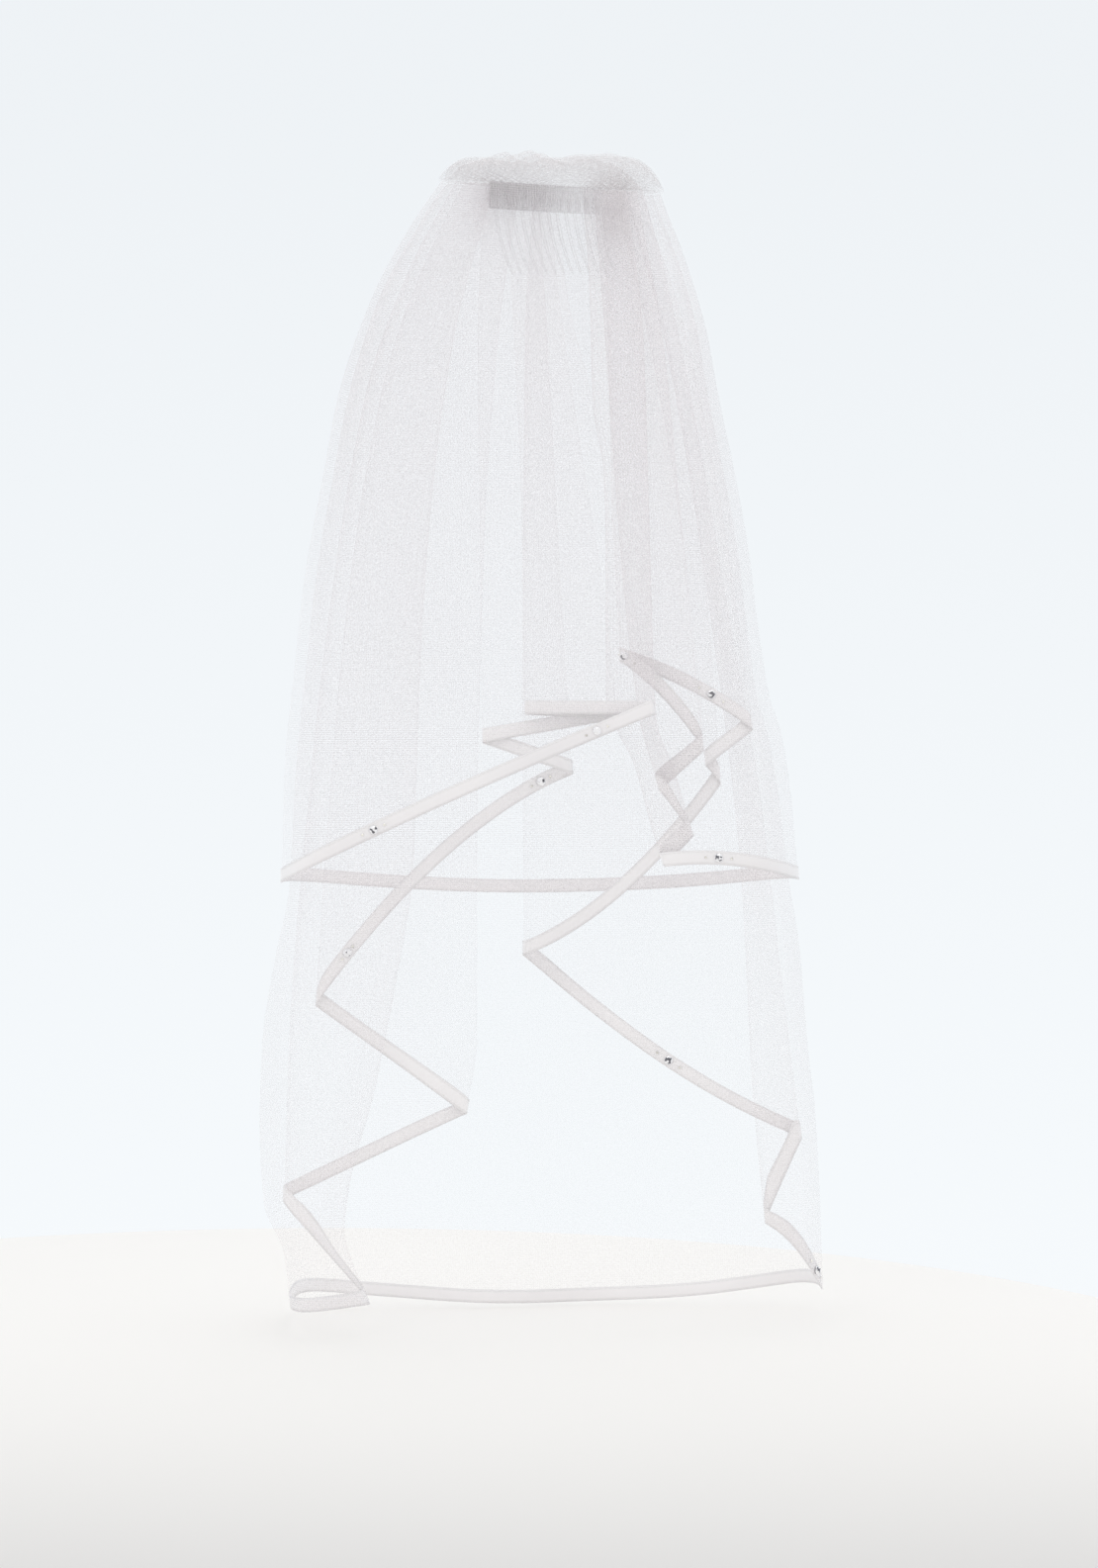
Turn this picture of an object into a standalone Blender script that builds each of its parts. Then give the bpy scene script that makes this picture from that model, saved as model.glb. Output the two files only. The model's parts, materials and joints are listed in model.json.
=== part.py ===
"""Two-tier veil of fine net, folded over and gathered on a clear hair comb, with a ribbon round its edge.

The veil hangs from its comb. X runs to the right, Y away from the side the comb's teeth face, Z up.
The origin is the middle of the gathered band on the comb. Sizes are in millimetres until the meshes are made.

The net is one oval sheet. Folded over at the comb it gives a short upper tier, which hangs outside, and a
long lower tier inside it. Seen from above each tier is a C, open towards the teeth, whose two ends roll in on
themselves in folds. LAYERS holds the flat stretches between folds and FOLDS the turns that join them.
"""

import math
from dataclasses import dataclass

import bmesh
import bpy

MM = 0.001

# Cloth and trim
WALL = 1.0
SEAM_GAP = 0.3
RIBBON_WIDTH = 10.0
RIBBON_THICKNESS = 0.8
# Least share of level run in the hem's slope that the ribbon's upper edge still follows
RIBBON_LEAST_RUN = 0.42

# Stack of layers under the gathers
TOP_DROP = -8.0
PITCH = 1.6
STACK_FRONT = 5.0
GATHER_HEIGHT = 2.2
GATHER_FADE = 150.0
WAVE_HEIGHT = 3.2
WAVE_LENGTH = 140.0
COMMON_LEVELS = (-8.0, 24.0, 44.0, 66.0, 106.0, 150.0, 198.0, 244.0, 300.0)
# The lower tier's net is two nodes, so that its collision follows its curve: gathers above this level, fall below
PART_LEVEL = 198.0

# Comb
COMB_HALF = 40.5
COMB_THICKNESS = 2.6
BAR_TOP = 1.0
BAR_BOTTOM = 10.5
TOOTH_COUNT = 13
TOOTH_RADIUS = 1.15
TOOTH_TIP_DROP = 60.0
TOOTH_TIP_SLANT = 2.4
TOOTH_FORWARD = 20.0
TOOTH_SPREAD = 0.03
TOOTH_LEAN = 4.5
TOOTH_TAPER = 0.35
TOOTH_ROOT = 3.0
TOOTH_STEPS = 4
COMB_TURN = 0.42
COMB_ARCH = 3.0
STRAIGHT_HALF = 44.0
STRAIGHT_FADE = 60.0

# Band of stitched gathers behind the comb's bar
BAND_BOTTOM = 11.5
BAND_THICKNESS = 2.6
BAND_FLUTES = 22
BAND_FLUTE_HEIGHT = 0.35

# Puffed head of the fold above the comb
PUFF_WALL = 1.2
PUFF_PLEATS = 15
PUFF_PLEAT_HEIGHT = 1.3
PUFF_PLEAT_RISE = 2.2
PUFF_POINTS = 60
PUFF_BULGE = 2.0
PUFF_NARROWING = 0.28
PUFF_OVERHANG = 1.5
PUFF_FRONT_GAP = 0.9
PUFF_BACK_GAP = 1.2
# Powers that square off the head's outline, across it and from front to back
PUFF_SQUARE = (0.75, 0.62)
# Rings of the head from its foot to its ridge: (shrink towards the ridge, share of the ridge's height)
PUFF_RINGS = ((1.0, 0.0), (1.0, 0.3), (0.9, 0.62), (0.62, 0.9), (0.25, 1.0))

# Share of its full depth that the stack has opened to, by drop below the comb: (drop, share)
OPENING = (
    (-8, 0.0), (24, 0.0), (66, 0.12), (106, 0.27), (160, 0.44), (226, 0.62),
    (300, 0.79), (400, 0.94), (500, 1.0), (600, 1.03), (820, 1.08),
)
# How much of the comb's turn the cloth still follows: (drop, share)
TURNING = ((-8, 1.0), (20, 1.0), (60, 0.8), (145, 0.5), (300, 0.34), (500, 0.28), (820, 0.26))
# Height of the puffed head's ridge above the origin: (across, height)
PUFF_RIDGE = (
    (-78, 16), (-60, 23), (-45, 24.5), (-28, 27), (-9, 32.5), (6, 29), (20, 32), (38, 30), (52, 33), (66, 27),
    (77, 23), (86, 16),
)


@dataclass(frozen=True)
class Layer:
    """A flat stretch of cloth between two folds, front layers first in order."""

    order: float
    depth: float
    ribs: int
    bow: float = 0.0
    gather: int = 0


@dataclass(frozen=True)
class Fold:
    """A vertical turn of the cloth: side is 1 at a right-hand edge and -1 at a left-hand one."""

    side: int
    hem: float
    course: tuple
    reach: float = 30.0
    roundness: float = 2.0
    steps: int = 2


# order: place in the stack at the comb, front to back; depth: Y where the stack is fully open;
# ribs: sections across it; bow: how much lower than straight its hem hangs at mid width
LAYERS = {
    "left_front": Layer(order=0.0, depth=-102, ribs=8, bow=-3),
    "left_second": Layer(order=1.0, depth=-96, ribs=3),
    "left_third": Layer(order=2.0, depth=-90, ribs=2),
    "left_fourth": Layer(order=3.0, depth=-84, ribs=3),
    "left_fifth": Layer(order=4.0, depth=-78, ribs=2),
    "left_roll_front": Layer(order=5.0, depth=-70, ribs=3),
    "left_roll_back": Layer(order=6.0, depth=-60, ribs=3),
    "left_fall_top": Layer(order=7.0, depth=-52, ribs=6, bow=-22),
    "left_fall_middle": Layer(order=8.0, depth=-45, ribs=4),
    "left_fall_bottom": Layer(order=9.0, depth=-38, ribs=5),
    "right_front": Layer(order=0.0, depth=-70, ribs=4, bow=-6),
    "right_second": Layer(order=1.0, depth=-63, ribs=1),
    "right_third": Layer(order=2.0, depth=-57, ribs=1),
    "right_fourth": Layer(order=3.0, depth=-51, ribs=1),
    "right_fifth": Layer(order=4.0, depth=-45, ribs=2, bow=-6),
    "right_fall_top": Layer(order=5.0, depth=-39, ribs=3, bow=-5),
    "right_fall_tuck": Layer(order=6.0, depth=-34, ribs=1),
    "right_fall_return": Layer(order=7.0, depth=-29, ribs=1),
    "right_fall_back": Layer(order=10.5, depth=-24, ribs=5, bow=18),
    "right_roll_front": Layer(order=11.5, depth=-17, ribs=2, bow=-8),
    "right_roll_back": Layer(order=12.5, depth=-9, ribs=2),
    "right_fall_long": Layer(order=13.5, depth=-1, ribs=7, bow=13),
    "lower_back": Layer(order=15.0, depth=85, ribs=17, bow=15),
    "upper_back": Layer(order=16.5, depth=100, ribs=25, bow=11, gather=1),
}

# hem: drop of the ribbon's lower edge at the fold; course: the fold's line from comb to hem as (drop, across)
FOLDS = {
    "left_join": Fold(1, 421, ((-8, -6), (100, 0), (250, 8), (421, 18))),
    "left_pleat_outer": Fold(-1, 399, ((-8, -45), (100, -50), (250, -48), (399, -46))),
    "left_pleat_hidden": Fold(1, 382, ((-8, 0), (100, 12), (210, 28), (300, 42), (382, 50))),
    "left_pleat_inner": Fold(-1, 379, ((-8, -30), (100, -24), (250, -18), (379, -16))),
    "left_flap": Fold(1, 379, ((-8, 6), (74, 15), (154, 33), (210, 41), (294, 61), (379, 76))),
    "upper_left_side": Fold(
        -1, 499,
        ((-8, -76), (11, -89), (27, -99), (52, -114), (81, -128), (145, -150), (203, -161), (275, -174),
         (347, -182), (420, -189), (505, -191)),
        reach=50, roundness=2.6, steps=6),
    "upper_right_side": Fold(
        1, 498,
        ((-8, 83), (11, 90), (23, 95), (55, 106), (95, 117), (145, 126), (203, 138), (261, 148), (318, 155),
         (361, 162), (394, 172), (433, 178), (491, 183), (505, 184)),
        reach=42, roundness=2.6, steps=6),
    "right_flap": Fold(
        -1, 487,
        ((-8, 26), (70, 31), (151, 33), (208, 41), (264, 42), (363, 42), (392, 51), (411, 61), (461, 75),
         (487, 84))),
    "right_pleat_outer": Fold(
        1, 465, ((-8, 58), (100, 70), (250, 74), (380, 78), (421, 92), (439, 97), (465, 105))),
    "right_pleat_inner": Fold(-1, 433, ((-8, 34), (100, 42), (250, 52), (380, 66), (433, 81))),
    "right_curl": Fold(1, 404, ((-8, 66), (100, 84), (250, 98), (404, 113))),
    "right_join": Fold(-1, 340, ((-8, 40), (100, 44), (250, 48), (340, 53))),
    "left_fall_side": Fold(
        -1, 586, ((-8, -60), (60, -92), (145, -119), (300, -143), (450, -156), (586, -165))),
    "left_fall_tip": Fold(1, 664, ((-8, -20), (100, -35), (250, -45), (490, -50), (611, -50), (664, -58))),
    "left_roll_side": Fold(
        -1, 724, ((-8, -66), (60, -101), (145, -130), (300, -155), (450, -171), (600, -183), (724, -187))),
    "left_roll_edge": Fold(
        1, 796,
        ((-8, -38), (100, -66), (200, -80), (300, -88), (400, -92), (490, -95), (574, -108), (645, -122),
         (715, -140), (743, -143), (796, -125))),
    "lower_left_side": Fold(
        -1, 803,
        ((-8, -71), (11, -85), (27, -94), (52, -109), (81, -123), (145, -143), (203, -154), (275, -166),
         (347, -174), (420, -181), (505, -186), (549, -195), (613, -205), (671, -207), (729, -204),
         (762, -190), (803, -185)),
        reach=40, roundness=3.2, steps=6),
    "lower_right_side": Fold(
        1, 800,
        ((-8, 78), (11, 85), (23, 90), (55, 101), (95, 111), (145, 119), (203, 131), (261, 141), (318, 148),
         (361, 154), (394, 163), (433, 170), (491, 177), (549, 186), (621, 192), (664, 197), (736, 201),
         (800, 203)),
        reach=25, roundness=2.6, steps=6),
    "right_roll_edge": Fold(-1, 747, ((-8, 58), (100, 86), (300, 118), (498, 141), (648, 149), (747, 158))),
    "right_roll_side": Fold(
        1, 686, ((-8, 72), (60, 89), (145, 106), (300, 132), (433, 155), (560, 170), (686, 185))),
    "right_fall_tip": Fold(-1, 552, ((-8, -10), (100, -16), (362, -18), (552, -17))),
    "right_fall_crook": Fold(1, 428, ((-8, 60), (100, 88), (250, 112), (428, 126))),
    "right_fall_notch": Fold(-1, 415, ((-8, 50), (100, 74), (250, 98), (415, 115))),
    "right_fall_side": Fold(1, 389, ((-8, 70), (100, 102), (250, 130), (389, 149))),
}

UPPER_ROUTE = (
    "left_join", "left_fifth", "left_pleat_outer", "left_fourth", "left_pleat_hidden", "left_third",
    "left_pleat_inner", "left_second", "left_flap", "left_front", "upper_left_side", "upper_back",
    "upper_right_side", "right_front", "right_flap", "right_second", "right_pleat_outer", "right_third",
    "right_pleat_inner", "right_fourth", "right_curl", "right_fifth", "right_join",
)
LOWER_ROUTE = (
    "left_join", "left_fall_top", "left_fall_side", "left_fall_middle", "left_fall_tip", "left_fall_bottom",
    "left_roll_side", "left_roll_back", "left_roll_edge", "left_roll_front", "lower_left_side", "lower_back",
    "lower_right_side", "right_roll_front", "right_roll_edge", "right_roll_back", "right_roll_side",
    "right_fall_long", "right_fall_tip", "right_fall_back", "right_fall_crook", "right_fall_return",
    "right_fall_notch", "right_fall_tuck", "right_fall_side", "right_fall_top", "right_join",
)
# Levels below the common ones, as shares of what is left down to the ribbon
LOW_LEVELS = (0.4, 0.8)

# Colour, roughness and see-through share of each material
FINISHES = {
    "net": ((0.86, 0.86, 0.85), 0.85, 1.0),
    "ribbon": ((0.88, 0.87, 0.88), 0.35, 1.0),
    "clear_plastic": ((0.90, 0.92, 0.93), 0.12, 0.35),
}


def along(table, position):
    """Smooth value at a position of a table of (position, value) rows, with no overshoot between rows."""
    if position <= table[0][0]:
        return float(table[0][1])
    if position >= table[-1][0]:
        return float(table[-1][1])
    index = max(i for i, row in enumerate(table) if row[0] <= position)
    index = min(index, len(table) - 2)

    def secant(i):
        return (table[i + 1][1] - table[i][1]) / (table[i + 1][0] - table[i][0])

    def slope(i):
        if i == 0:
            return secant(0)
        if i == len(table) - 1:
            return secant(i - 1)
        before, after = secant(i - 1), secant(i)
        return 0.0 if before * after <= 0 else 2 * before * after / (before + after)

    (start, low), (end, high) = table[index], table[index + 1]
    span = end - start
    t = (position - start) / span
    return (
        low * (2 * t ** 3 - 3 * t ** 2 + 1)
        + high * (3 * t ** 2 - 2 * t ** 3)
        + span * slope(index) * (t ** 3 - 2 * t ** 2 + t)
        + span * slope(index + 1) * (t ** 3 - t ** 2)
    )


def comb_line(across):
    """Y of the comb's middle line, which turns away to the right, arches, and runs straight past its ends."""
    size = abs(across)
    if size > STRAIGHT_HALF:
        size = STRAIGHT_HALF + STRAIGHT_FADE * (1 - math.exp((STRAIGHT_HALF - size) / STRAIGHT_FADE))
    held = math.copysign(size, across)
    return COMB_TURN * held - COMB_ARCH * (held / COMB_HALF) ** 2


def comb_facing(across):
    """Unit plan vector out of the comb's front face."""
    slope = (comb_line(across + 0.5) - comb_line(across - 0.5))
    length = math.hypot(slope, 1.0)
    return slope / length, -1.0 / length


def settle(across, depth, drop):
    """Where a point of the stack lies once the stack follows the comb's turn and its long shallow waves."""
    wave = WAVE_HEIGHT * along(OPENING, drop) * math.sin(math.tau * across / WAVE_LENGTH)
    return across, depth + wave + comb_line(across) * along(TURNING, drop)


def layer_depth(layer, drop):
    """Y of a layer in the unturned stack."""
    opened = along(OPENING, drop)
    return (1 - opened) * (STACK_FRONT + PITCH * layer.order) + opened * layer.depth


def turn_size(fold, first, second, drop):
    """Middle depth, half depth and sideways reach of the turn that joins two layers."""
    near, far = layer_depth(first, drop), layer_depth(second, drop)
    half = (far - near) / 2
    reach = min(abs(half), fold.reach * (0.2 + 0.8 * along(OPENING, drop)))
    return (near + far) / 2, half, reach


def on_turn(fold, first, second, share, drop):
    """Plan point of a turn: share runs from 0 at the first layer to 1 at the second."""
    middle, half, reach = turn_size(fold, first, second, drop)
    angle = math.pi * share
    power = 2 / fold.roundness
    cosine, sine = math.cos(angle), abs(math.sin(angle))
    side = abs(cosine) ** power * math.copysign(1, cosine)
    bulge = sine ** power
    return along(fold.course, drop) - fold.side * reach * (1 - bulge), middle - half * side


def straight_end(fold, first, second, drop):
    """X where the turn ends and the flat stretch starts."""
    return along(fold.course, drop) - fold.side * turn_size(fold, first, second, drop)[2]


@dataclass(frozen=True)
class Rib:
    """One section line of a tier, from the comb down to the hem."""

    place: object
    hem: float


def hem_drop(layer, start, end, across):
    """Drop of a layer's hem at a place across it, between the folds at its two ends."""
    left, right = along(start.course, start.hem), along(end.course, end.hem)
    share = min(1.0, max(0.0, (across - left) / (right - left)))
    return start.hem + (end.hem - start.hem) * share + 4 * layer.bow * share * (1 - share)


def finish_rib(layer, start, end, place):
    """A rib whose hem is found on its layer's hem line."""
    hem = (start.hem + end.hem) / 2
    for _ in range(4):
        hem = hem_drop(layer, start, end, place(hem)[0])
    return Rib(place, hem)


def turn_ribs(fold, before, after, shares):
    """Ribs round a fold. before and after are (layer, start fold, end fold)."""
    ribs = []
    for share in shares:
        owner = before if share < 0.5 else after

        def place(drop, share=share):
            return on_turn(fold, before[0], after[0], share, drop)

        ribs.append(finish_rib(owner[0], owner[1], owner[2], place))
    return ribs


def flat_ribs(layer, start, end, previous, following):
    """Ribs across a flat stretch, every second one pushed out in gathers on the layers that have them."""
    ribs = []
    for index in range(layer.ribs):
        share = (index + 1) / (layer.ribs + 1)
        pushed = layer.gather * (index % 2) * GATHER_HEIGHT

        def place(drop, share=share, pushed=pushed):
            left = straight_end(start, previous, layer, drop)
            right = straight_end(end, layer, following, drop)
            fade = max(0.0, 1 - max(0.0, drop) / GATHER_FADE)
            return left + (right - left) * share, layer_depth(layer, drop) + pushed * fade

        ribs.append(finish_rib(layer, start, end, place))
    return ribs


def tier_ribs(route, other_route):
    """All ribs of a tier in order. Its end turns are halves, each with a guide rib from the other tier."""
    ribs = []
    layers = [LAYERS[name] for name in route[1::2]]
    folds = [FOLDS[name] for name in route[0::2]]
    first_other, last_other = LAYERS[other_route[1]], LAYERS[other_route[-2]]
    for index, layer in enumerate(layers):
        start, end = folds[index], folds[index + 1]
        previous = layers[index - 1] if index else first_other
        following = layers[index + 1] if index + 1 < len(layers) else last_other
        if index == 0:
            whole = (layer, start, end)
            ribs += turn_ribs(start, (first_other, start, end), whole, (0.0, 0.5, 1.0))
        ribs += flat_ribs(layer, start, end, previous, following)
        if index + 1 < len(layers):
            shares = [step / end.steps for step in range(end.steps + 1)]
            before, after = (layer, start, end), (following, end, folds[index + 2])
            ribs += turn_ribs(end, before, after, shares)
        else:
            ribs += turn_ribs(end, (layer, start, end), (last_other, start, end), (0.0, 0.5, 1.0))
    return ribs


def ribbon_drops(ribs):
    """Drop of the ribbon's upper edge on each rib, further up where the hem is steep, so its width holds."""
    hems = []
    for rib in ribs:
        across, depth = rib.place(rib.hem)
        hems.append((across, depth, rib.hem))
    tops = []
    last = len(ribs) - 1
    for index, rib in enumerate(ribs):
        before, after = hems[max(0, index - 1)], hems[min(last, index + 1)]
        level = math.hypot(after[0] - before[0], after[1] - before[1])
        slant = math.hypot(level, after[2] - before[2])
        tops.append(rib.hem - RIBBON_WIDTH / max(RIBBON_LEAST_RUN, level / slant))
    return tops


def rib_grid(ribs, tops, levels):
    """Plan points and drops of the ribs at each level, from the comb to the hem, as rows of (x, y, drop)."""
    rows = []
    last_common = levels[-1]
    for rib, top in zip(ribs, tops):
        drops = list(levels)
        drops += [last_common + (top - last_common) * share for share in LOW_LEVELS]
        drops += [top, rib.hem]
        rows.append([(*settle(*rib.place(drop), drop), drop) for drop in drops])
    return [list(level) for level in zip(*rows)]


def beside(row, index):
    """Plan normal of a row of points, to the right of its direction."""
    before, after = row[index - 1], row[index + 1]
    run, rise = after[0] - before[0], after[1] - before[1]
    length = math.hypot(run, rise)
    return rise / length, -run / length


def shifted(row, distance, trim):
    """A row of points moved sideways in plan, without its two guides, its ends drawn in by the trim."""
    moved = []
    last = len(row) - 2
    for index in range(1, last + 1):
        across, depth, drop = row[index]
        side, front = beside(row, index)
        x, y = across + side * distance, depth + front * distance
        if index == 1:
            x, y = x - front * trim, y + side * trim
        if index == last:
            x, y = x + front * trim, y - side * trim
        moved.append((x, y, drop))
    return moved


def wall_mesh(name, rows, inner, outer, trim):
    """A closed wall between two shifted copies of a grid of rows."""
    mesh = bpy.data.meshes.new(name)
    sheet = bmesh.new()
    skins = []
    for distance in (outer, inner):
        skin = []
        for row in rows:
            points = shifted(row, distance, trim)
            skin.append([sheet.verts.new((x * MM, y * MM, -drop * MM)) for x, y, drop in points])
        skins.append(skin)
    front, back = skins
    height, width = len(rows), len(front[0])
    for level in range(height - 1):
        for rib in range(width - 1):
            # Both skins are split along the same diagonal, so that they stay parallel
            for skin in skins:
                a, b = skin[level][rib], skin[level][rib + 1]
                c, d = skin[level + 1][rib + 1], skin[level + 1][rib]
                sheet.faces.new((a, b, c))
                sheet.faces.new((a, c, d))
    for rib in range(width - 1):
        sheet.faces.new((front[0][rib + 1], front[0][rib], back[0][rib], back[0][rib + 1]))
        sheet.faces.new((front[-1][rib], front[-1][rib + 1], back[-1][rib + 1], back[-1][rib]))
    for level in range(height - 1):
        sheet.faces.new((front[level][0], front[level + 1][0], back[level + 1][0], back[level][0]))
        sheet.faces.new((front[level + 1][-1], front[level][-1], back[level][-1], back[level + 1][-1]))
    bmesh.ops.triangulate(sheet, faces=sheet.faces)
    bmesh.ops.recalc_face_normals(sheet, faces=sheet.faces)
    sheet.to_mesh(mesh)
    sheet.free()
    mesh.shade_smooth()
    return mesh


def material(name):
    """The named material as a Principled BSDF."""
    colour, roughness, alpha = FINISHES[name]
    made = bpy.data.materials.new(name)
    made.use_nodes = True
    shader = made.node_tree.nodes["Principled BSDF"]
    shader.inputs["Base Color"].default_value = (*colour, 1.0)
    shader.inputs["Roughness"].default_value = roughness
    shader.inputs["Metallic"].default_value = 0.0
    shader.inputs["Alpha"].default_value = alpha
    return made


def place_object(mesh, collection, finish):
    """Puts a mesh in the collection as an object of the same name."""
    piece = bpy.data.objects.new(mesh.name, mesh)
    collection.objects.link(piece)
    mesh.materials.clear()
    mesh.materials.append(finish)
    return piece


def build_tier(name, route, other_route, face, parted, collection, finishes):
    """One tier of net, in two nodes where parted, and the ribbon 0.3 mm off its hem, on the face 1 or -1."""
    ribs = tier_ribs(route, other_route)
    tops = ribbon_drops(ribs)
    first = 0
    levels = COMMON_LEVELS
    if parted:
        first = COMMON_LEVELS.index(PART_LEVEL) + 1
        levels = COMMON_LEVELS[:first] + (PART_LEVEL + SEAM_GAP,) + COMMON_LEVELS[first:]
    rows = rib_grid(ribs, tops, levels)
    half = WALL / 2
    # Both end turns are cut short by half the seam gap, where the other tier's wall starts
    if parted:
        gathers = wall_mesh(f"{name}_gathers", rows[:first], -half, half, SEAM_GAP / 2)
        place_object(gathers, collection, finishes["net"])
    net = wall_mesh(name, rows[first:], -half, half, SEAM_GAP / 2)
    place_object(net, collection, finishes["net"])
    inside = half + SEAM_GAP
    outside = inside + RIBBON_THICKNESS
    ribbon = wall_mesh(f"{name}_ribbon", rows[-2:], face * inside, face * outside, SEAM_GAP / 2)
    place_object(ribbon, collection, finishes["ribbon"])


def strip_mesh(name, drops, columns, offset, ripple):
    """An open upright strip that follows the comb, moved out of its front face by the offset."""
    mesh = bpy.data.meshes.new(name)
    sheet = bmesh.new()
    rows = []
    for drop in drops:
        row = []
        for index in range(columns + 1):
            across = COMB_HALF * (2 * index / columns - 1)
            side, front = comb_facing(across)
            out = offset + ripple * math.cos(math.pi * index)
            point = (across + side * out, comb_line(across) + front * out, -drop)
            row.append(sheet.verts.new([value * MM for value in point]))
        rows.append(row)
    for upper, lower in zip(rows, rows[1:]):
        for index in range(columns):
            sheet.faces.new((upper[index], lower[index], lower[index + 1], upper[index + 1]))
    sheet.to_mesh(mesh)
    sheet.free()
    return mesh


def thicken(piece, thickness):
    """Gives an open sheet its thickness, all of it behind the sheet."""
    solid = piece.modifiers.new("thickness", "SOLIDIFY")
    solid.thickness = thickness * MM
    solid.offset = -1.0
    solid.use_even_offset = True


def evaluated_mesh(piece, name):
    """The piece's mesh with its modifiers applied."""
    piece_now = piece.evaluated_get(bpy.context.evaluated_depsgraph_get())
    mesh = bpy.data.meshes.new_from_object(piece_now)
    mesh.name = name
    return mesh


def tooth_curve(collection):
    """All the comb's teeth as one curve object with a spline for each tooth."""
    curve = bpy.data.curves.new("teeth", "CURVE")
    curve.dimensions = "3D"
    curve.bevel_depth = TOOTH_RADIUS * MM
    curve.bevel_resolution = 1
    curve.use_fill_caps = True
    for tooth in range(TOOTH_COUNT):
        inset = 2 * TOOTH_RADIUS
        across = (COMB_HALF - inset) * (2 * tooth / (TOOTH_COUNT - 1) - 1)
        side, front = comb_facing(across)
        start = BAR_BOTTOM - TOOTH_ROOT
        tip = TOOTH_TIP_DROP - TOOTH_TIP_SLANT * across / COMB_HALF
        spline = curve.splines.new("POLY")
        spline.points.add(TOOTH_STEPS)
        for step, point in enumerate(spline.points):
            share = step / TOOTH_STEPS
            out = COMB_THICKNESS / 2 + TOOTH_FORWARD * share ** 2
            x = across * (1 + TOOTH_SPREAD * share) + TOOTH_LEAN * share + side * out
            y = comb_line(across) + front * out
            point.co = (x * MM, y * MM, -(start + (tip - start) * share) * MM, 1.0)
            point.radius = 1.0 - TOOTH_TAPER * share ** 3
    piece = bpy.data.objects.new("teeth", curve)
    collection.objects.link(piece)
    return piece


def build_comb(collection, finishes):
    """The clear comb: an upright bar that arches in plan, with a row of curved teeth joined to it."""
    sheet = strip_mesh("bar", (BAR_TOP, BAR_BOTTOM), 12, COMB_THICKNESS, 0.0)
    bar = place_object(sheet, collection, finishes["clear_plastic"])
    thicken(bar, COMB_THICKNESS)
    curve = tooth_curve(collection)
    teeth_mesh = evaluated_mesh(curve, "teeth_mesh")
    welded = bmesh.new()
    welded.from_mesh(teeth_mesh)
    bmesh.ops.remove_doubles(welded, verts=welded.verts, dist=0.00001)
    bmesh.ops.recalc_face_normals(welded, faces=welded.faces)
    welded.to_mesh(teeth_mesh)
    welded.free()
    bpy.data.objects.remove(curve)
    teeth = place_object(teeth_mesh, collection, finishes["clear_plastic"])
    joined = bar.modifiers.new("teeth", "BOOLEAN")
    joined.operation = "UNION"
    joined.solver = "EXACT"
    joined.object = teeth
    bpy.context.view_layer.update()
    mesh = evaluated_mesh(bar, "comb")
    bpy.data.objects.remove(bar)
    bpy.data.objects.remove(teeth)
    place_object(mesh, collection, finishes["clear_plastic"])


def build_band(collection, finishes):
    """The fluted band of stitched gathers, close behind the comb's bar and just in front of the stack."""
    behind = -SEAM_GAP - BAND_FLUTE_HEIGHT
    drops = (TOP_DROP, BAND_BOTTOM)
    sheet = strip_mesh("gathered_band", drops, 2 * BAND_FLUTES, behind, BAND_FLUTE_HEIGHT)
    band = place_object(sheet, collection, finishes["net"])
    thicken(band, BAND_THICKNESS)


def puff_ring(shrink, rise):
    """One ring of the puffed head: shrink draws it in to the ridge, rise lifts it to the ridge's height."""
    left, right = FOLDS["upper_left_side"], FOLDS["upper_right_side"]
    low = along(left.course, TOP_DROP) - PUFF_OVERHANG
    high = along(right.course, TOP_DROP) + PUFF_OVERHANG
    front = STACK_FRONT - PUFF_FRONT_GAP
    back = STACK_FRONT + PITCH * LAYERS["upper_back"].order + GATHER_HEIGHT + PUFF_BACK_GAP
    square_across, square_deep = PUFF_SQUARE
    ring = []
    for index in range(PUFF_POINTS):
        angle = math.tau * index / PUFF_POINTS
        cosine, sine = math.cos(angle), math.sin(angle)
        pleat = PUFF_PLEAT_HEIGHT * math.cos(PUFF_PLEATS * angle) * min(1.0, PUFF_PLEAT_RISE * rise)
        half_width = (high - low) / 2 * (1 - PUFF_NARROWING * (1 - shrink))
        half_depth = ((back - front) / 2 + PUFF_BULGE * math.sin(math.pi * rise) + pleat) * shrink
        across = (low + high) / 2 + half_width * math.copysign(abs(cosine) ** square_across, cosine)
        depth = (front + back) / 2 + half_depth * math.copysign(abs(sine) ** square_deep, sine)
        height = -TOP_DROP + SEAM_GAP + (along(PUFF_RIDGE, across) + TOP_DROP - SEAM_GAP) * rise
        ring.append((across, depth + comb_line(across), height))
    return ring


def build_puff(collection, finishes):
    """The puffed head where the sheet folds over the comb: an arched shell with pleats, open underneath."""
    name = "gathered_head"
    mesh = bpy.data.meshes.new(name)
    sheet = bmesh.new()
    rings = []
    for shrink, rise in PUFF_RINGS:
        rings.append([sheet.verts.new([value * MM for value in point]) for point in puff_ring(shrink, rise)])
    count = PUFF_POINTS
    for lower, upper in zip(rings, rings[1:]):
        for index in range(count):
            after = (index + 1) % count
            sheet.faces.new((lower[index], lower[after], upper[after], upper[index]))
    crown = rings[-1]
    half = count // 2
    for index in range(half):
        a, b = crown[index], crown[index + 1]
        c, d = crown[(count - index - 1) % count], crown[(count - index) % count]
        corners = list(dict.fromkeys((a, b, c, d)))
        if len(corners) > 2:
            sheet.faces.new(corners)
    bmesh.ops.recalc_face_normals(sheet, faces=sheet.faces)
    sheet.to_mesh(mesh)
    sheet.free()
    mesh.shade_smooth()
    head = place_object(mesh, collection, finishes["net"])
    thicken(head, PUFF_WALL)


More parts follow.
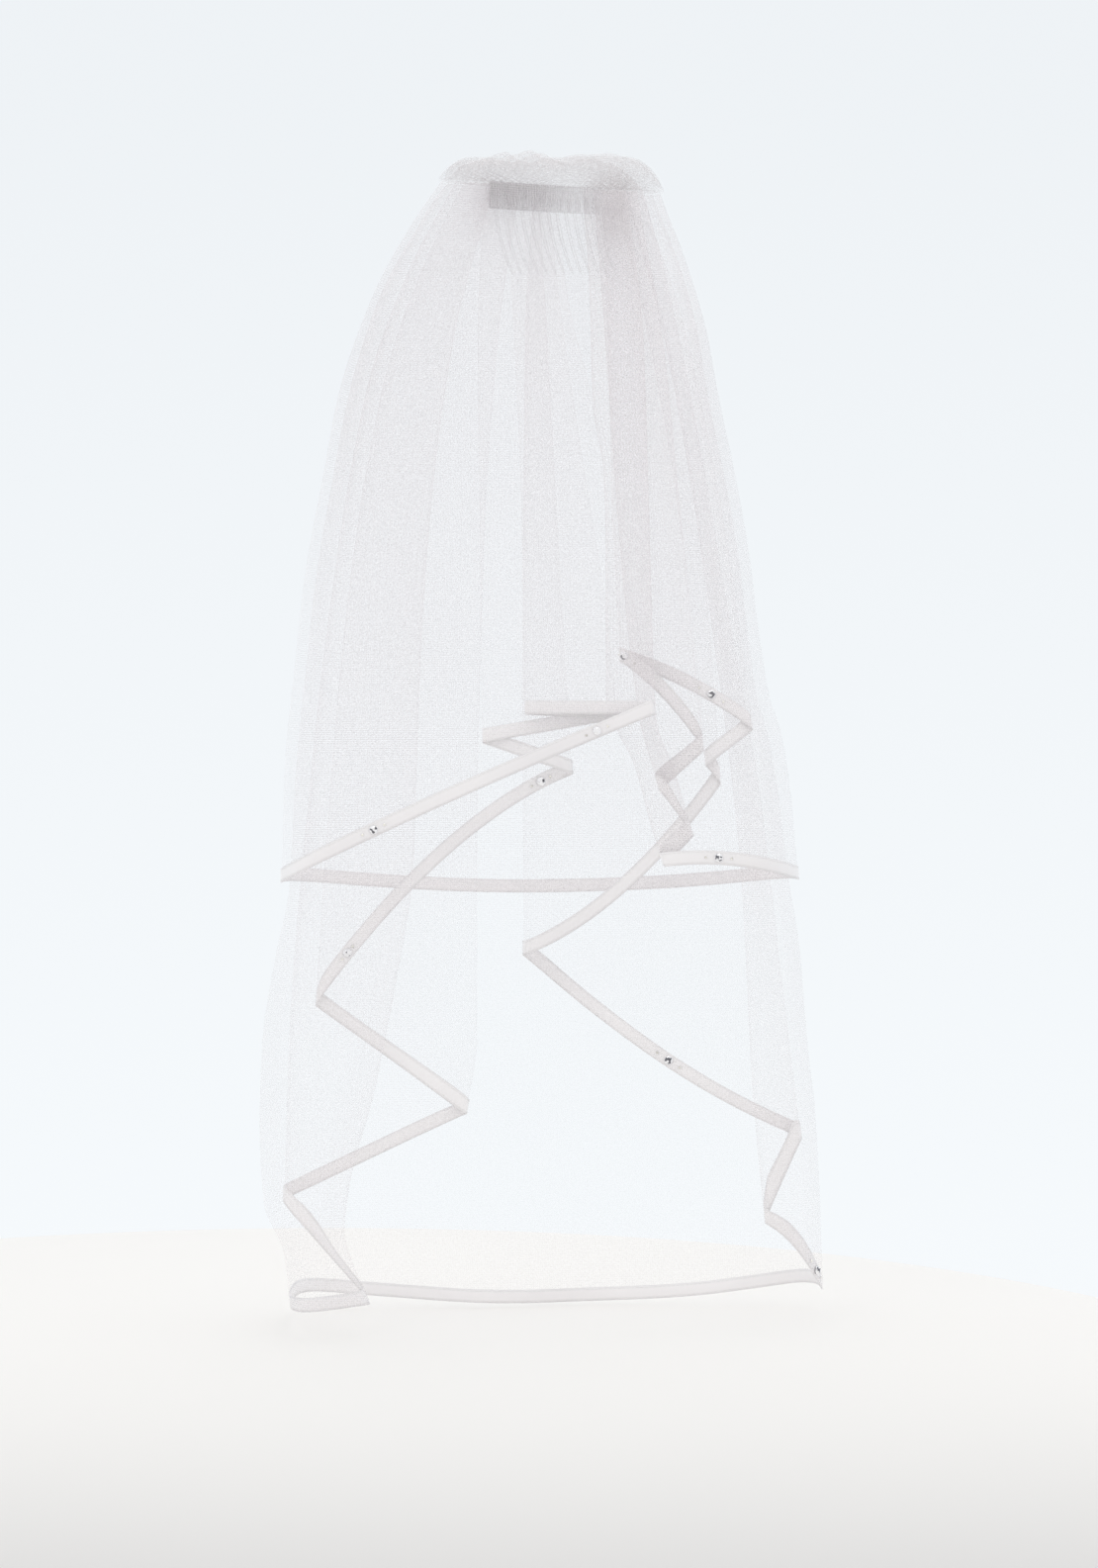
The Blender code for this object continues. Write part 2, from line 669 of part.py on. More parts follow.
def main():
    """Clears the scene and builds the veil."""
    for piece in list(bpy.data.objects):
        bpy.data.objects.remove(piece)
    collection = bpy.data.collections.new("two_tier_veil")
    bpy.context.scene.collection.children.link(collection)
    finishes = {name: material(name) for name in FINISHES}
    build_comb(collection, finishes)
    build_band(collection, finishes)
    build_puff(collection, finishes)
    build_tier("upper_tier", UPPER_ROUTE, LOWER_ROUTE, -1, False, collection, finishes)
    build_tier("lower_tier", LOWER_ROUTE, UPPER_ROUTE, 1, True, collection, finishes)


if __name__ == "__main__":
    main()
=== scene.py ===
"""Two-tier bridal veil: sheer net folded over a clear comb, with satin ribbon and stones round its edge.

The net hangs in folds. Seen from above each tier is a C, open towards the comb's teeth, whose ends roll in on
themselves. LAYERS holds the flat stretches between folds and FOLDS the turns that join them, as lengths in
millimetres; DRAPE holds what is the same for all of them. Each piece is built at its real place in metres.
"""

from __future__ import annotations

import json
import logging
import math
import random
from collections.abc import Callable
from dataclasses import dataclass, field
from enum import Enum

import bmesh
import bpy
import numpy as np
from mathutils import Matrix, Vector

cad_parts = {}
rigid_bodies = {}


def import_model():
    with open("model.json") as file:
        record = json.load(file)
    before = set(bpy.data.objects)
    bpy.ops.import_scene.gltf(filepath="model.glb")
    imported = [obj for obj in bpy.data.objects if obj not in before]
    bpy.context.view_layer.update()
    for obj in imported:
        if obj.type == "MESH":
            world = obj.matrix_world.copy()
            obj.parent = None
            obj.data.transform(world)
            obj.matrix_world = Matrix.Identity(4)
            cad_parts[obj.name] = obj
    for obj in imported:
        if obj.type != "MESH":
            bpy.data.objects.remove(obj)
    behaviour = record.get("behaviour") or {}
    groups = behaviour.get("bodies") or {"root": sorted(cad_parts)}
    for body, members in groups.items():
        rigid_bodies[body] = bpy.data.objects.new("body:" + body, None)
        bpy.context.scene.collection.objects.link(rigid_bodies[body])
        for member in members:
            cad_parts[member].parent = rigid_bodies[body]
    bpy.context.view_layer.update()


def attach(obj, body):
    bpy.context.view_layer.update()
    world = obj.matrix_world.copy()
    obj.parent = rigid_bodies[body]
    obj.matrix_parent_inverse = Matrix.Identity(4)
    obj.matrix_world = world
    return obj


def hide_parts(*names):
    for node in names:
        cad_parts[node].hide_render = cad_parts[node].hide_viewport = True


MM = 0.001
LOG = logging.getLogger("veil")
BODY = "root"
# what gives a section's points across and in depth from drops
PLACE = Callable[[np.ndarray], tuple]
# corners of a square in the order that faces the other way, from the same first corner
TURNED = (0, 3, 2, 1)


# Smooth lines through short tables


@dataclass(frozen=True)
class Course:
    """A smooth line through rows of (position, value), with no overshoot between rows."""

    rows: tuple[tuple[float, float], ...]

    def at(self, position: np.ndarray | float) -> np.ndarray:
        """Values of the line.

        Args:
            position: where to read it, held inside the table's ends.

        Returns:
            The values, in an array shaped as position is.
        """
        places = np.array([row[0] for row in self.rows], float)
        values = np.array([row[1] for row in self.rows], float)
        spans = np.diff(places)
        rises = np.diff(values) / spans
        slopes = np.concatenate(([rises[0]], np.zeros(len(rises) - 1), [rises[-1]]))
        same_way = rises[:-1] * rises[1:]
        total = np.where(same_way > 0, rises[:-1] + rises[1:], 1.0)
        slopes[1:-1] = np.where(same_way > 0, 2 * same_way / total, 0.0)
        held = np.clip(position, places[0], places[-1])
        index = np.clip(np.searchsorted(places, held, side="right") - 1, 0, len(spans) - 1)
        span = spans[index]
        t = (held - places[index]) / span
        return (
            values[index] * (2 * t**3 - 3 * t**2 + 1)
            + values[index + 1] * (3 * t**2 - 2 * t**3)
            + span * slopes[index] * (t**3 - 2 * t**2 + t)
            + span * slopes[index + 1] * (t**3 - t**2)
        )


def smoothed(row: np.ndarray, weights: tuple[int, ...]) -> np.ndarray:
    """A row of values, each blended with its neighbours.

    Args:
        row: the values.
        weights: shares of the neighbours, with the value's own in the middle.

    Returns:
        The blended values.
    """
    kernel = np.array(weights) / sum(weights)
    return np.convolve(np.pad(row, len(weights) // 2, mode="edge"), kernel, mode="valid")


# The veil's folds


@dataclass(frozen=True)
class Layer:
    """A flat stretch of net between two folds.

    order is its place in the stack at the comb, depth its Y when open, and bow its hem's sag. full is how
    much denser than lying flat its fine crumples make it.
    """

    order: float
    depth: float
    bow: float = 0.0
    full: float = 1.0


@dataclass(frozen=True)
class Fold:
    """A vertical turn of the net: side is 1 at a right-hand edge and -1 at a left-hand one."""

    side: int
    hem: float
    rows: tuple[tuple[float, float], ...]
    reach: float = 30.0
    roundness: float = 2.0

    @property
    def line(self) -> Course:
        """The fold's place across the veil at each drop."""
        return Course(self.rows)


LAYERS = {
    "left_front": Layer(order=0.0, depth=-102, bow=-3, full=0.7),
    "left_second": Layer(order=1.0, depth=-96, full=0.7),
    "left_third": Layer(order=2.0, depth=-90, full=0.75),
    "left_fourth": Layer(order=3.0, depth=-84, full=0.75),
    "left_fifth": Layer(order=4.0, depth=-78, full=0.75),
    "left_roll_front": Layer(order=5.0, depth=-70, full=1.3),
    "left_roll_back": Layer(order=6.0, depth=-60, full=1.3),
    "left_fall_top": Layer(order=7.0, depth=-52, bow=-22, full=0.8),
    "left_fall_middle": Layer(order=8.0, depth=-45, full=1.1),
    "left_fall_bottom": Layer(order=9.0, depth=-38, full=1.1),
    "right_front": Layer(order=0.0, depth=-70, bow=-6, full=1.4),
    "right_second": Layer(order=1.0, depth=-63, full=3.2),
    "right_third": Layer(order=2.0, depth=-57, full=3.2),
    "right_fourth": Layer(order=3.0, depth=-51, full=3.2),
    "right_fifth": Layer(order=4.0, depth=-45, bow=-6, full=1.8),
    "right_fall_top": Layer(order=5.0, depth=-39, bow=-5),
    "right_fall_tuck": Layer(order=6.0, depth=-34, full=1.3),
    "right_fall_return": Layer(order=7.0, depth=-29, full=1.3),
    "right_fall_back": Layer(order=10.5, depth=-24, bow=18),
    "right_roll_front": Layer(order=11.5, depth=-17, bow=-8, full=1.6),
    "right_roll_back": Layer(order=12.5, depth=-9, full=1.6),
    "right_fall_long": Layer(order=13.5, depth=-1, bow=13),
    "lower_back": Layer(order=15.0, depth=85, bow=15),
    "upper_back": Layer(order=16.5, depth=100, bow=11, full=1.0),
}

# hem: drop of the ribbon's lower edge at the fold; rows: the fold's line from comb to hem as (drop, across)
FOLDS = {
    "left_join": Fold(1, 421, ((-8, -6), (100, 0), (250, 8), (421, 18))),
    "left_pleat_outer": Fold(-1, 399, ((-8, -45), (100, -50), (250, -48), (399, -46))),
    "left_pleat_hidden": Fold(1, 382, ((-8, 0), (100, 12), (210, 28), (300, 42), (382, 50))),
    "left_pleat_inner": Fold(-1, 379, ((-8, -30), (100, -24), (250, -18), (379, -16))),
    "left_flap": Fold(1, 379, ((-8, 6), (74, 15), (154, 33), (210, 41), (294, 61), (379, 76))),
    "upper_left_side": Fold(
        -1, 499,
        ((-8, -76), (11, -89), (27, -99), (52, -114), (81, -128), (145, -150), (203, -161), (275, -174),
         (347, -182), (420, -189), (505, -191)),
        reach=50, roundness=2.6),
    "upper_right_side": Fold(
        1, 498,
        ((-8, 83), (11, 90), (23, 95), (55, 106), (95, 117), (145, 126), (203, 138), (261, 148), (318, 155),
         (361, 162), (394, 172), (433, 178), (491, 183), (505, 184)),
        reach=42, roundness=2.6),
    "right_flap": Fold(
        -1, 487,
        ((-8, 26), (70, 31), (151, 33), (208, 41), (264, 42), (363, 42), (392, 51), (411, 61), (461, 75),
         (487, 84))),
    "right_pleat_outer": Fold(
        1, 465, ((-8, 58), (100, 70), (250, 74), (380, 78), (421, 92), (439, 97), (465, 105))),
    "right_pleat_inner": Fold(-1, 433, ((-8, 34), (100, 42), (250, 52), (380, 66), (433, 81))),
    "right_curl": Fold(1, 404, ((-8, 66), (100, 84), (250, 98), (404, 113))),
    "right_join": Fold(-1, 340, ((-8, 40), (100, 44), (250, 48), (340, 53))),
    "left_fall_side": Fold(
        -1, 586, ((-8, -60), (60, -92), (145, -119), (300, -143), (450, -156), (586, -165))),
    "left_fall_tip": Fold(1, 664, ((-8, -20), (100, -35), (250, -45), (490, -50), (611, -50), (664, -58))),
    "left_roll_side": Fold(
        -1, 724, ((-8, -66), (60, -101), (145, -130), (300, -155), (450, -171), (600, -183), (724, -187))),
    "left_roll_edge": Fold(
        1, 796,
        ((-8, -38), (100, -66), (200, -80), (300, -88), (400, -92), (490, -95), (574, -108), (645, -122),
         (715, -140), (743, -143), (796, -125))),
    "lower_left_side": Fold(
        -1, 803,
        ((-8, -71), (11, -85), (27, -94), (52, -109), (81, -123), (145, -143), (203, -154), (275, -166),
         (347, -174), (420, -181), (505, -186), (549, -195), (613, -205), (671, -207), (729, -204),
         (762, -190), (803, -185)),
        reach=40, roundness=3.2),
    "lower_right_side": Fold(
        1, 800,
        ((-8, 78), (11, 85), (23, 90), (55, 101), (95, 111), (145, 119), (203, 131), (261, 141), (318, 148),
         (361, 154), (394, 163), (433, 170), (491, 177), (549, 186), (621, 192), (664, 197), (736, 201),
         (800, 203)),
        reach=25, roundness=2.6),
    "right_roll_edge": Fold(-1, 747, ((-8, 58), (100, 86), (300, 118), (498, 141), (648, 149), (747, 158))),
    "right_roll_side": Fold(
        1, 686, ((-8, 72), (60, 89), (145, 106), (300, 132), (433, 155), (560, 170), (686, 185))),
    "right_fall_tip": Fold(-1, 552, ((-8, -10), (100, -16), (362, -18), (552, -17))),
    "right_fall_crook": Fold(1, 428, ((-8, 60), (100, 88), (250, 112), (428, 126))),
    "right_fall_notch": Fold(-1, 415, ((-8, 50), (100, 74), (250, 98), (415, 115))),
    "right_fall_side": Fold(1, 389, ((-8, 70), (100, 102), (250, 130), (389, 149))),
}

UPPER_ROUTE = (
    "left_join", "left_fifth", "left_pleat_outer", "left_fourth", "left_pleat_hidden", "left_third",
    "left_pleat_inner", "left_second", "left_flap", "left_front", "upper_left_side", "upper_back",
    "upper_right_side", "right_front", "right_flap", "right_second", "right_pleat_outer", "right_third",
    "right_pleat_inner", "right_fourth", "right_curl", "right_fifth", "right_join",
)
LOWER_ROUTE = (
    "left_join", "left_fall_top", "left_fall_side", "left_fall_middle", "left_fall_tip", "left_fall_bottom",
    "left_roll_side", "left_roll_back", "left_roll_edge", "left_roll_front", "lower_left_side", "lower_back",
    "lower_right_side", "right_roll_front", "right_roll_edge", "right_roll_back", "right_roll_side",
    "right_fall_long", "right_fall_tip", "right_fall_back", "right_fall_crook", "right_fall_return",
    "right_fall_notch", "right_fall_tuck", "right_fall_side", "right_fall_top", "right_join",
)


@dataclass(frozen=True)
class Drape:
    """What all layers share: how the stack opens below the comb, turns and waves. Millimetres.

    front is Y of the first layer at the comb and pitch the step from layer to layer there. opening is how far
    the stack has opened at each drop, and turning how much of the comb's turn it still follows.
    """

    top: float = -8.0
    pitch: float = 1.6
    front: float = 5.0
    opening: Course = Course((
        (-8, 0.0), (24, 0.0), (66, 0.12), (106, 0.27), (160, 0.44), (226, 0.62),
        (300, 0.79), (400, 0.94), (500, 1.0), (600, 1.03), (820, 1.08),
    ))
    turning: Course = Course((
        (-8, 1.0), (20, 1.0), (60, 0.8), (145, 0.5), (300, 0.34), (500, 0.28), (820, 0.26),
    ))
    comb_half: float = 40.5
    comb_turn: float = 0.42
    comb_arch: float = 3.0
    straight_half: float = 44.0
    straight_fade: float = 60.0
    wave_height: float = 3.2
    wave_length: float = 140.0
    open_gap: float = 6.0
    closed_reach: float = 0.2
    ribbon_width: float = 10.0
    ribbon_least_run: float = 0.42

    def comb_line(self, across: np.ndarray | float) -> np.ndarray:
        """Y of the comb's middle line.

        Args:
            across: places along X.

        Returns:
            Y at those places, turned away to the right and arched, and straight past the comb's ends.
        """
        size = np.abs(across)
        past = self.straight_half + self.straight_fade * (
            1 - np.exp((self.straight_half - size) / self.straight_fade))
        held = np.copysign(np.where(size > self.straight_half, past, size), across)
        return self.comb_turn * held - self.comb_arch * (held / self.comb_half) ** 2

    def settle(self, across: np.ndarray, depth: np.ndarray, drop: np.ndarray) -> np.ndarray:
        """Y of stack points once the stack follows the comb's turn and its long shallow waves.

        Args:
            across: places along X.
            depth: Y in the unturned stack.
            drop: distance below the comb.

        Returns:
            Y of the settled points.
        """
        wave = self.wave_height * self.opening.at(drop) * np.sin(math.tau * across / self.wave_length)
        return depth + wave + self.comb_line(across) * self.turning.at(drop)

    def depth(self, layer: Layer, drop: np.ndarray | float) -> np.ndarray:
        """Y of a layer in the unturned stack at the drops given."""
        opened = self.opening.at(drop)
        return (1 - opened) * (self.front + self.pitch * layer.order) + opened * layer.depth

    def turn(self, fold: Fold, first: Layer, second: Layer, drop: np.ndarray | float) -> tuple:
        """Size of the turn that joins two layers.

        Args:
            fold: the turn.
            first: the layer before it.
            second: the layer after it.
            drop: distances below the comb.

        Returns:
            Its middle depth, half depth and sideways reach.
        """
        near, far = self.depth(first, drop), self.depth(second, drop)
        half = (far - near) / 2
        opened = self.closed_reach + (1 - self.closed_reach) * self.opening.at(drop)
        reach = np.minimum(np.abs(half), fold.reach * opened)
        return (near + far) / 2, half, reach

    def on_turn(self, fold: Fold, first: Layer, second: Layer, share: float, drop: np.ndarray) -> tuple:
        """Plan points of a turn.

        Args:
            fold: the turn.
            first: the layer before it.
            second: the layer after it.
            share: 0 at the first layer, 1 at the second.
            drop: distances below the comb.

        Returns:
            Their places across and in depth.
        """
        middle, half, reach = self.turn(fold, first, second, drop)
        angle = math.pi * share
        power = 2 / fold.roundness
        cosine, sine = math.cos(angle), abs(math.sin(angle))
        side = abs(cosine) ** power * math.copysign(1, cosine)
        bulge = sine ** power
        return fold.line.at(drop) - fold.side * reach * (1 - bulge), middle - half * side

    def gap(self, drop: np.ndarray) -> np.ndarray:
        """Clear depth between neighbouring layers at the drops given."""
        opened = np.clip(self.opening.at(drop), 0, 1)
        return (1 - opened) * self.pitch + opened * self.open_gap


DRAPE = Drape()


@dataclass(frozen=True)
class Creasing:
    """The net's small waves: gathers that die away below the comb, and long soft troughs. Millimetres.

    gathers holds rows of (length, weight), tucks rows of (place across, weight).
    """

    most: float = 0.55
    gap_share: float = 0.3
    full_drop: float = 240.0
    least: float = 0.12
    gathers: tuple[tuple[float, float], ...] = ((19.0, 0.42), (27.0, 0.36), (43.0, 0.22))
    gather_bend: float = 2.5
    bend_drops: tuple[float, float] = (90, 140)
    gather_start: float = 1.1
    gather_drop: float = 220.0
    gather_least: float = 0.06
    troughs: int = 7
    trough_widths: tuple[float, float] = (55, 190)
    trough_drops: tuple[float, float] = (260, 900)
    trough_lean: float = 0.35
    trough_sum: float = 3.2
    trough_share: float = 0.8
    trough_start: float = 40.0
    trough_fade: float = 260.0
    edge_on: float = 0.02
    tucks: tuple[tuple[float, float], ...] = ((-46.0, 0.5), (47.0, 1.1))
    tuck_width: float = 11.0
    tuck_middle: float = 6.0
    tuck_length: float = 24.0

    def gather_waves(self, rng: random.Random, along: np.ndarray, drop: np.ndarray) -> np.ndarray:
        """Short waves that the gathering at the comb leaves in the net.

        Args:
            rng: gives their phases.
            along: places along the hem.
            drop: distances below the comb.

        Returns:
            Their sum, about -1 to 1 at the comb.
        """
        total = np.zeros_like(drop)
        for length, weight in self.gathers:
            bend = self.gather_bend * np.sin(drop / rng.uniform(*self.bend_drops) + rng.uniform(0, 6))
            total += weight * np.sin(math.tau * (along + bend) / length + rng.uniform(0, 6))
        return total * np.clip(self.gather_start - drop / self.gather_drop, self.gather_least, 1.0)

    def trough_waves(self, rng: random.Random, along: np.ndarray, drop: np.ndarray) -> np.ndarray:
        """Long soft waves that grow below the comb.

        Args:
            rng: gives their lengths, leans and phases.
            along: places along the hem.
            drop: distances below the comb.

        Returns:
            Their sum, about -1 to 1 near the hem.
        """
        total = np.zeros_like(drop)
        for _ in range(self.troughs):
            width, length = rng.uniform(*self.trough_widths), rng.uniform(*self.trough_drops)
            lean = rng.uniform(-self.trough_lean, self.trough_lean)
            turns = (along + lean * drop) / width + drop / length
            total += np.sin(math.tau * turns + rng.uniform(0, 6))
        grown = np.clip((drop - self.trough_start) / self.trough_fade, 0, 1)
        return self.trough_share * total / self.trough_sum * grown

    def tucked(self, across: np.ndarray, drop: np.ndarray) -> np.ndarray:
        """How much denser the tucks beside the comb's ends make the net.

        Args:
            across: places along X.
            drop: distances below the comb.

        Returns:
            What to multiply the fullness by.
        """
        tucks = np.zeros_like(across)
        for middle, weight in self.tucks:
            sideways = (across - middle) / self.tuck_width
            downwards = (drop - self.tuck_middle) / self.tuck_length
            tucks += weight * np.exp(-sideways ** 2 - downwards ** 2)
        return 1 + tucks


CREASING = Creasing()


@dataclass
class Section:
    """One line of the net from the comb to the hem: its layer, its hem's drop and its points at any drops."""

    layer: str
    hem: float
    place: PLACE


class Tier:
    """A tier of the veil as a grid of points, from the tables of layers and folds. Millimetres."""

    COMMON_STEP = 4.0
    COMMON_END = 300.0
    HEM_ROWS = 4
    FIRST_HALF_TURN = (0.5, 0.66, 0.83, 1.0)
    LAST_HALF_TURN = (0.0, 0.17, 0.34, 0.5)
    TURN_STEPS = (6, 44)
    TURN_FINENESS = 2.4
    HEM_TRIES = 5
    RUN_BLEND = (1, 2, 3, 2, 1)
    FULL_BLEND = (1, 2, 3, 3, 3, 2, 1)
    FULL_RANGE = (0.7, 2.3)
    LEAST_STEP = 0.05

    def __init__(
        self, route: tuple[str, ...], other: tuple[str, ...], low_rows: int, spacing: float, seed: int,
    ) -> None:
        """Works out the grid.

        Args:
            route: folds and layers in turn, from one join with the other tier to the other.
            other: the other tier's route.
            low_rows: rows between the common levels and the ribbon.
            spacing: distance between sections at the hem, in millimetres.
            seed: fixes the small creases.
        """
        self.route = route
        self.layers = [LAYERS[name] for name in route[1::2]]
        self.folds = [FOLDS[name] for name in route[0::2]]
        self.first_other = LAYERS[other[1]]
        self.last_other = LAYERS[other[-2]]
        self.spacing = spacing
        self.low_rows = low_rows
        self.seed = seed
        self.sections = self.all_sections()
        self.fill_grid()

    def hem_drop(self, index: int, across: float) -> float:
        """Drop of a layer's hem.

        Args:
            index: the layer's place in the route.
            across: where on the hem.

        Returns:
            The drop of the hem there.
        """
        start, end = self.folds[index], self.folds[index + 1]
        left, right = float(start.line.at(start.hem)), float(end.line.at(end.hem))
        share = min(1.0, max(0.0, (across - left) / (right - left)))
        return start.hem + (end.hem - start.hem) * share + 4 * self.layers[index].bow * share * (1 - share)

    def neighbour(self, index: int) -> Layer:
        """The layer at a place in the route, or the other tier's layer past an end.

        Args:
            index: the place.

        Returns:
            The layer.
        """
        if index < 0:
            return self.first_other
        if index >= len(self.layers):
            return self.last_other
        return self.layers[index]

    def section(self, index: int, place: PLACE) -> Section:
        """A section whose hem is found on its layer's hem line.

        Args:
            index: the layer's place in the route.
            place: gives its points across and in depth from drops.

        Returns:
            The section.
        """
        hem = (self.folds[index].hem + self.folds[index + 1].hem) / 2
        for _ in range(self.HEM_TRIES):
            hem = self.hem_drop(index, float(place(np.array([hem]))[0][0]))
        return Section(self.route[2 * index + 1], hem, place)

    def turn_sections(self, at: int, shares: tuple[float, ...]) -> list[Section]:
        """Sections round a fold.

        Args:
            at: the fold's place in the route.
            shares: places on the turn, 0 at the layer before and 1 at the layer after.

        Returns:
            The sections, in order.
        """
        fold, before, after = self.folds[at], self.neighbour(at - 1), self.neighbour(at)
        made = []
        for share in shares:
            owner = at - 1 if (share < 0.5 and at > 0) or at == len(self.layers) else at

            def place(drop: np.ndarray, share: float = share) -> tuple:
                """Points of one section on the turn."""
                return DRAPE.on_turn(fold, before, after, share, drop)

            made.append(self.section(owner, place))
        return made

    def flat_sections(self, index: int) -> list[Section]:
        """Sections across a layer between its two turns.

        Args:
            index: the layer's place in the route.

        Returns:
            The sections, in order.
        """
        layer, start, end = self.layers[index], self.folds[index], self.folds[index + 1]
        previous, following = self.neighbour(index - 1), self.neighbour(index + 1)

        def ends(drop: np.ndarray) -> tuple:
            """Where the layer's flat stretch starts and ends.

            Args:
                drop: distances below the comb.

            Returns:
                Its left and right end at those drops.
            """
            left = start.line.at(drop) - start.side * DRAPE.turn(start, previous, layer, drop)[2]
            right = end.line.at(drop) - end.side * DRAPE.turn(end, layer, following, drop)[2]
            return left, right

        hem = np.array([(start.hem + end.hem) / 2])
        left, right = ends(hem)
        slant = math.hypot(float(right[0] - left[0]), end.hem - start.hem)
        count = max(2, round(slant / self.spacing))
        made = []
        for step in range(1, count):
            share = step / count

            def place(drop: np.ndarray, share: float = share) -> tuple:
                """Points of one section on the flat stretch."""
                left, right = ends(drop)
                return left + (right - left) * share, DRAPE.depth(layer, drop)

            made.append(self.section(index, place))
        return made

    def turn_steps(self, at: int) -> int:
        """Steps round a fold: few on a sharp one and more on a side's wide wrap.

        Args:
            at: the fold's place in the route.

        Returns:
            An even number of steps.
        """
        fold = self.folds[at]
        least, most = self.TURN_STEPS
        half = abs(float(DRAPE.turn(fold, self.neighbour(at - 1), self.neighbour(at), fold.hem)[1]))
        return int(min(most, max(least, round(self.TURN_FINENESS * half / self.spacing / 2) * 2)))

    def all_sections(self) -> list[Section]:
        """All sections of the tier in order, with half turns at its two joins.

        Returns:
            The sections.
        """
        last = len(self.layers)
        made = self.turn_sections(0, self.FIRST_HALF_TURN) + self.flat_sections(0)
        for index in range(1, last):
            steps = self.turn_steps(index)
            made += self.turn_sections(index, tuple(step / steps for step in range(steps + 1)))
            made += self.flat_sections(index)
        return made + self.turn_sections(last, self.LAST_HALF_TURN)

    def ribbon_tops(self) -> np.ndarray:
        """Drop of the ribbon's upper edge on each section: further up where the hem is steep.

        Returns:
            The drops in millimetres.
        """
        hems = np.array([section.hem for section in self.sections])
        points = [section.place(np.array([section.hem])) for section in self.sections]
        across = np.array([float(point[0][0]) for point in points])
        depth = np.array([float(point[1][0]) for point in points])
        level = np.hypot(np.gradient(across), np.gradient(depth))
        run = level / np.maximum(np.hypot(level, np.gradient(hems)), 1e-6)
        run = smoothed(run, self.RUN_BLEND)
        return hems - DRAPE.ribbon_width / np.maximum(DRAPE.ribbon_least_run, run)

    def fill_grid(self) -> None:
        """Fills the arrays of X, Y and drop, a row for each level and a column for each section."""
        tops = self.ribbon_tops()
        common = np.arange(DRAPE.top, self.COMMON_END, self.COMMON_STEP)
        low = np.arange(1, self.low_rows + 1) / (self.low_rows + 1)
        band = np.arange(self.HEM_ROWS + 1) / self.HEM_ROWS
        columns_x, columns_y, columns_drop = [], [], []
        for section, top in zip(self.sections, tops):
            drops = np.concatenate((
                common,
                common[-1] + (top - common[-1]) * low,
                top + (section.hem - top) * band,
            ))
            across, depth = section.place(drops)
            across = np.broadcast_to(across, drops.shape)
            columns_x.append(across)
            columns_y.append(DRAPE.settle(across, depth, drops))
            columns_drop.append(drops)
        self.x = np.array(columns_x).T
        self.y = np.array(columns_y).T
        self.drop = np.array(columns_drop).T
        steps = np.hypot(np.diff(self.x, axis=1), np.diff(self.y, axis=1))
        slant = np.hypot(steps[-1], np.diff(self.drop[-1]))
        self.along = np.concatenate(([0.0], np.cumsum(slant)))
        self.fullness = self.net_fullness(steps) * CREASING.tucked(self.x, self.drop)
        side, front = self.normals()
        crease = self.creases()
        self.x = self.x + side * crease
        self.y = self.y + front * crease

    def net_fullness(self, steps: np.ndarray) -> np.ndarray:
        """How much denser than lying flat the net is, from its columns and from each layer's crumples.

        Args:
            steps: distances between neighbouring columns on each row.

        Returns:
            The fullness at each point of the grid.
        """
        least, most = self.FULL_RANGE
        packed = np.clip(steps[-1] / np.maximum(steps, self.LEAST_STEP), least, most)
        between = (packed[:, :-1] + packed[:, 1:]) / 2
        full = np.concatenate((packed[:, :1], between, packed[:, -1:]), axis=1)
        full = full * np.array([LAYERS[section.layer].full for section in self.sections])
        return np.array([smoothed(row, self.FULL_BLEND) for row in full])

    def normals(self) -> tuple[np.ndarray, np.ndarray]:
        """Plan normals of the grid, to the right of the route's direction.

        Returns:
            Their X and Y at each point.
        """
        run, rise = np.gradient(self.x, axis=1), np.gradient(self.y, axis=1)
        length = np.maximum(np.hypot(run, rise), 1e-6)
        return rise / length, -run / length

    def creases(self) -> np.ndarray:
        """How far each point is moved along its normal by gathers, soft troughs and ridges.

        Returns:
            The distances in millimetres, small where the net is edge on to the front or its layers lie close.
        """
        rng = random.Random(self.seed)
        along, drop = np.broadcast_to(self.along, self.drop.shape), self.drop
        room = np.minimum(CREASING.most, CREASING.gap_share * DRAPE.gap(drop))
        room = room * np.clip(drop / CREASING.full_drop, CREASING.least, 1.0)
        gathers = CREASING.gather_waves(rng, along, drop)
        soft = CREASING.trough_waves(rng, along, drop)
        facing = np.abs(self.normals()[1])
        room = room * (CREASING.edge_on + (1 - CREASING.edge_on) * facing**4)
        return room * np.clip(gathers + soft, -1, 1)

    def column(self, layer: str, across: float) -> int:
        """The column of a layer whose hem is nearest to a place across the veil.

        Args:
            layer: the layer's name.
            across: the place along X.

        Returns:
            The column's number.
        """
        rows = [
            (abs(self.x[-1, index] - across), index)
            for index, section in enumerate(self.sections) if section.layer == layer
        ]
        return min(rows)[1]


# Meshes


def add_object(name: str, data: bpy.types.ID) -> bpy.types.Object:
    """A new object at the origin, linked to the scene.

    Args:
        name: its name.
        data: its mesh, lamp or camera.

    Returns:
        The object.
    """
    made = bpy.data.objects.new(name, data)
    bpy.context.scene.collection.objects.link(made)
    return made


def new_piece(
    name: str, points: np.ndarray | list, faces: list[tuple[int, ...]], finish: bpy.types.Material,
) -> bpy.types.Object:
    """A smooth-shaded piece at the origin.

    Args:
        name: the piece's name.
        points: its vertices in metres.
        faces: its faces as vertex numbers.
        finish: its material.

    Returns:
        The new object, linked to the scene.
    """
    mesh = bpy.data.meshes.new(name)
    mesh.from_pydata([tuple(point) for point in points], [], faces)
    mesh.materials.append(finish)
    mesh.shade_smooth()
    mesh.update()
    return add_object(name, mesh)


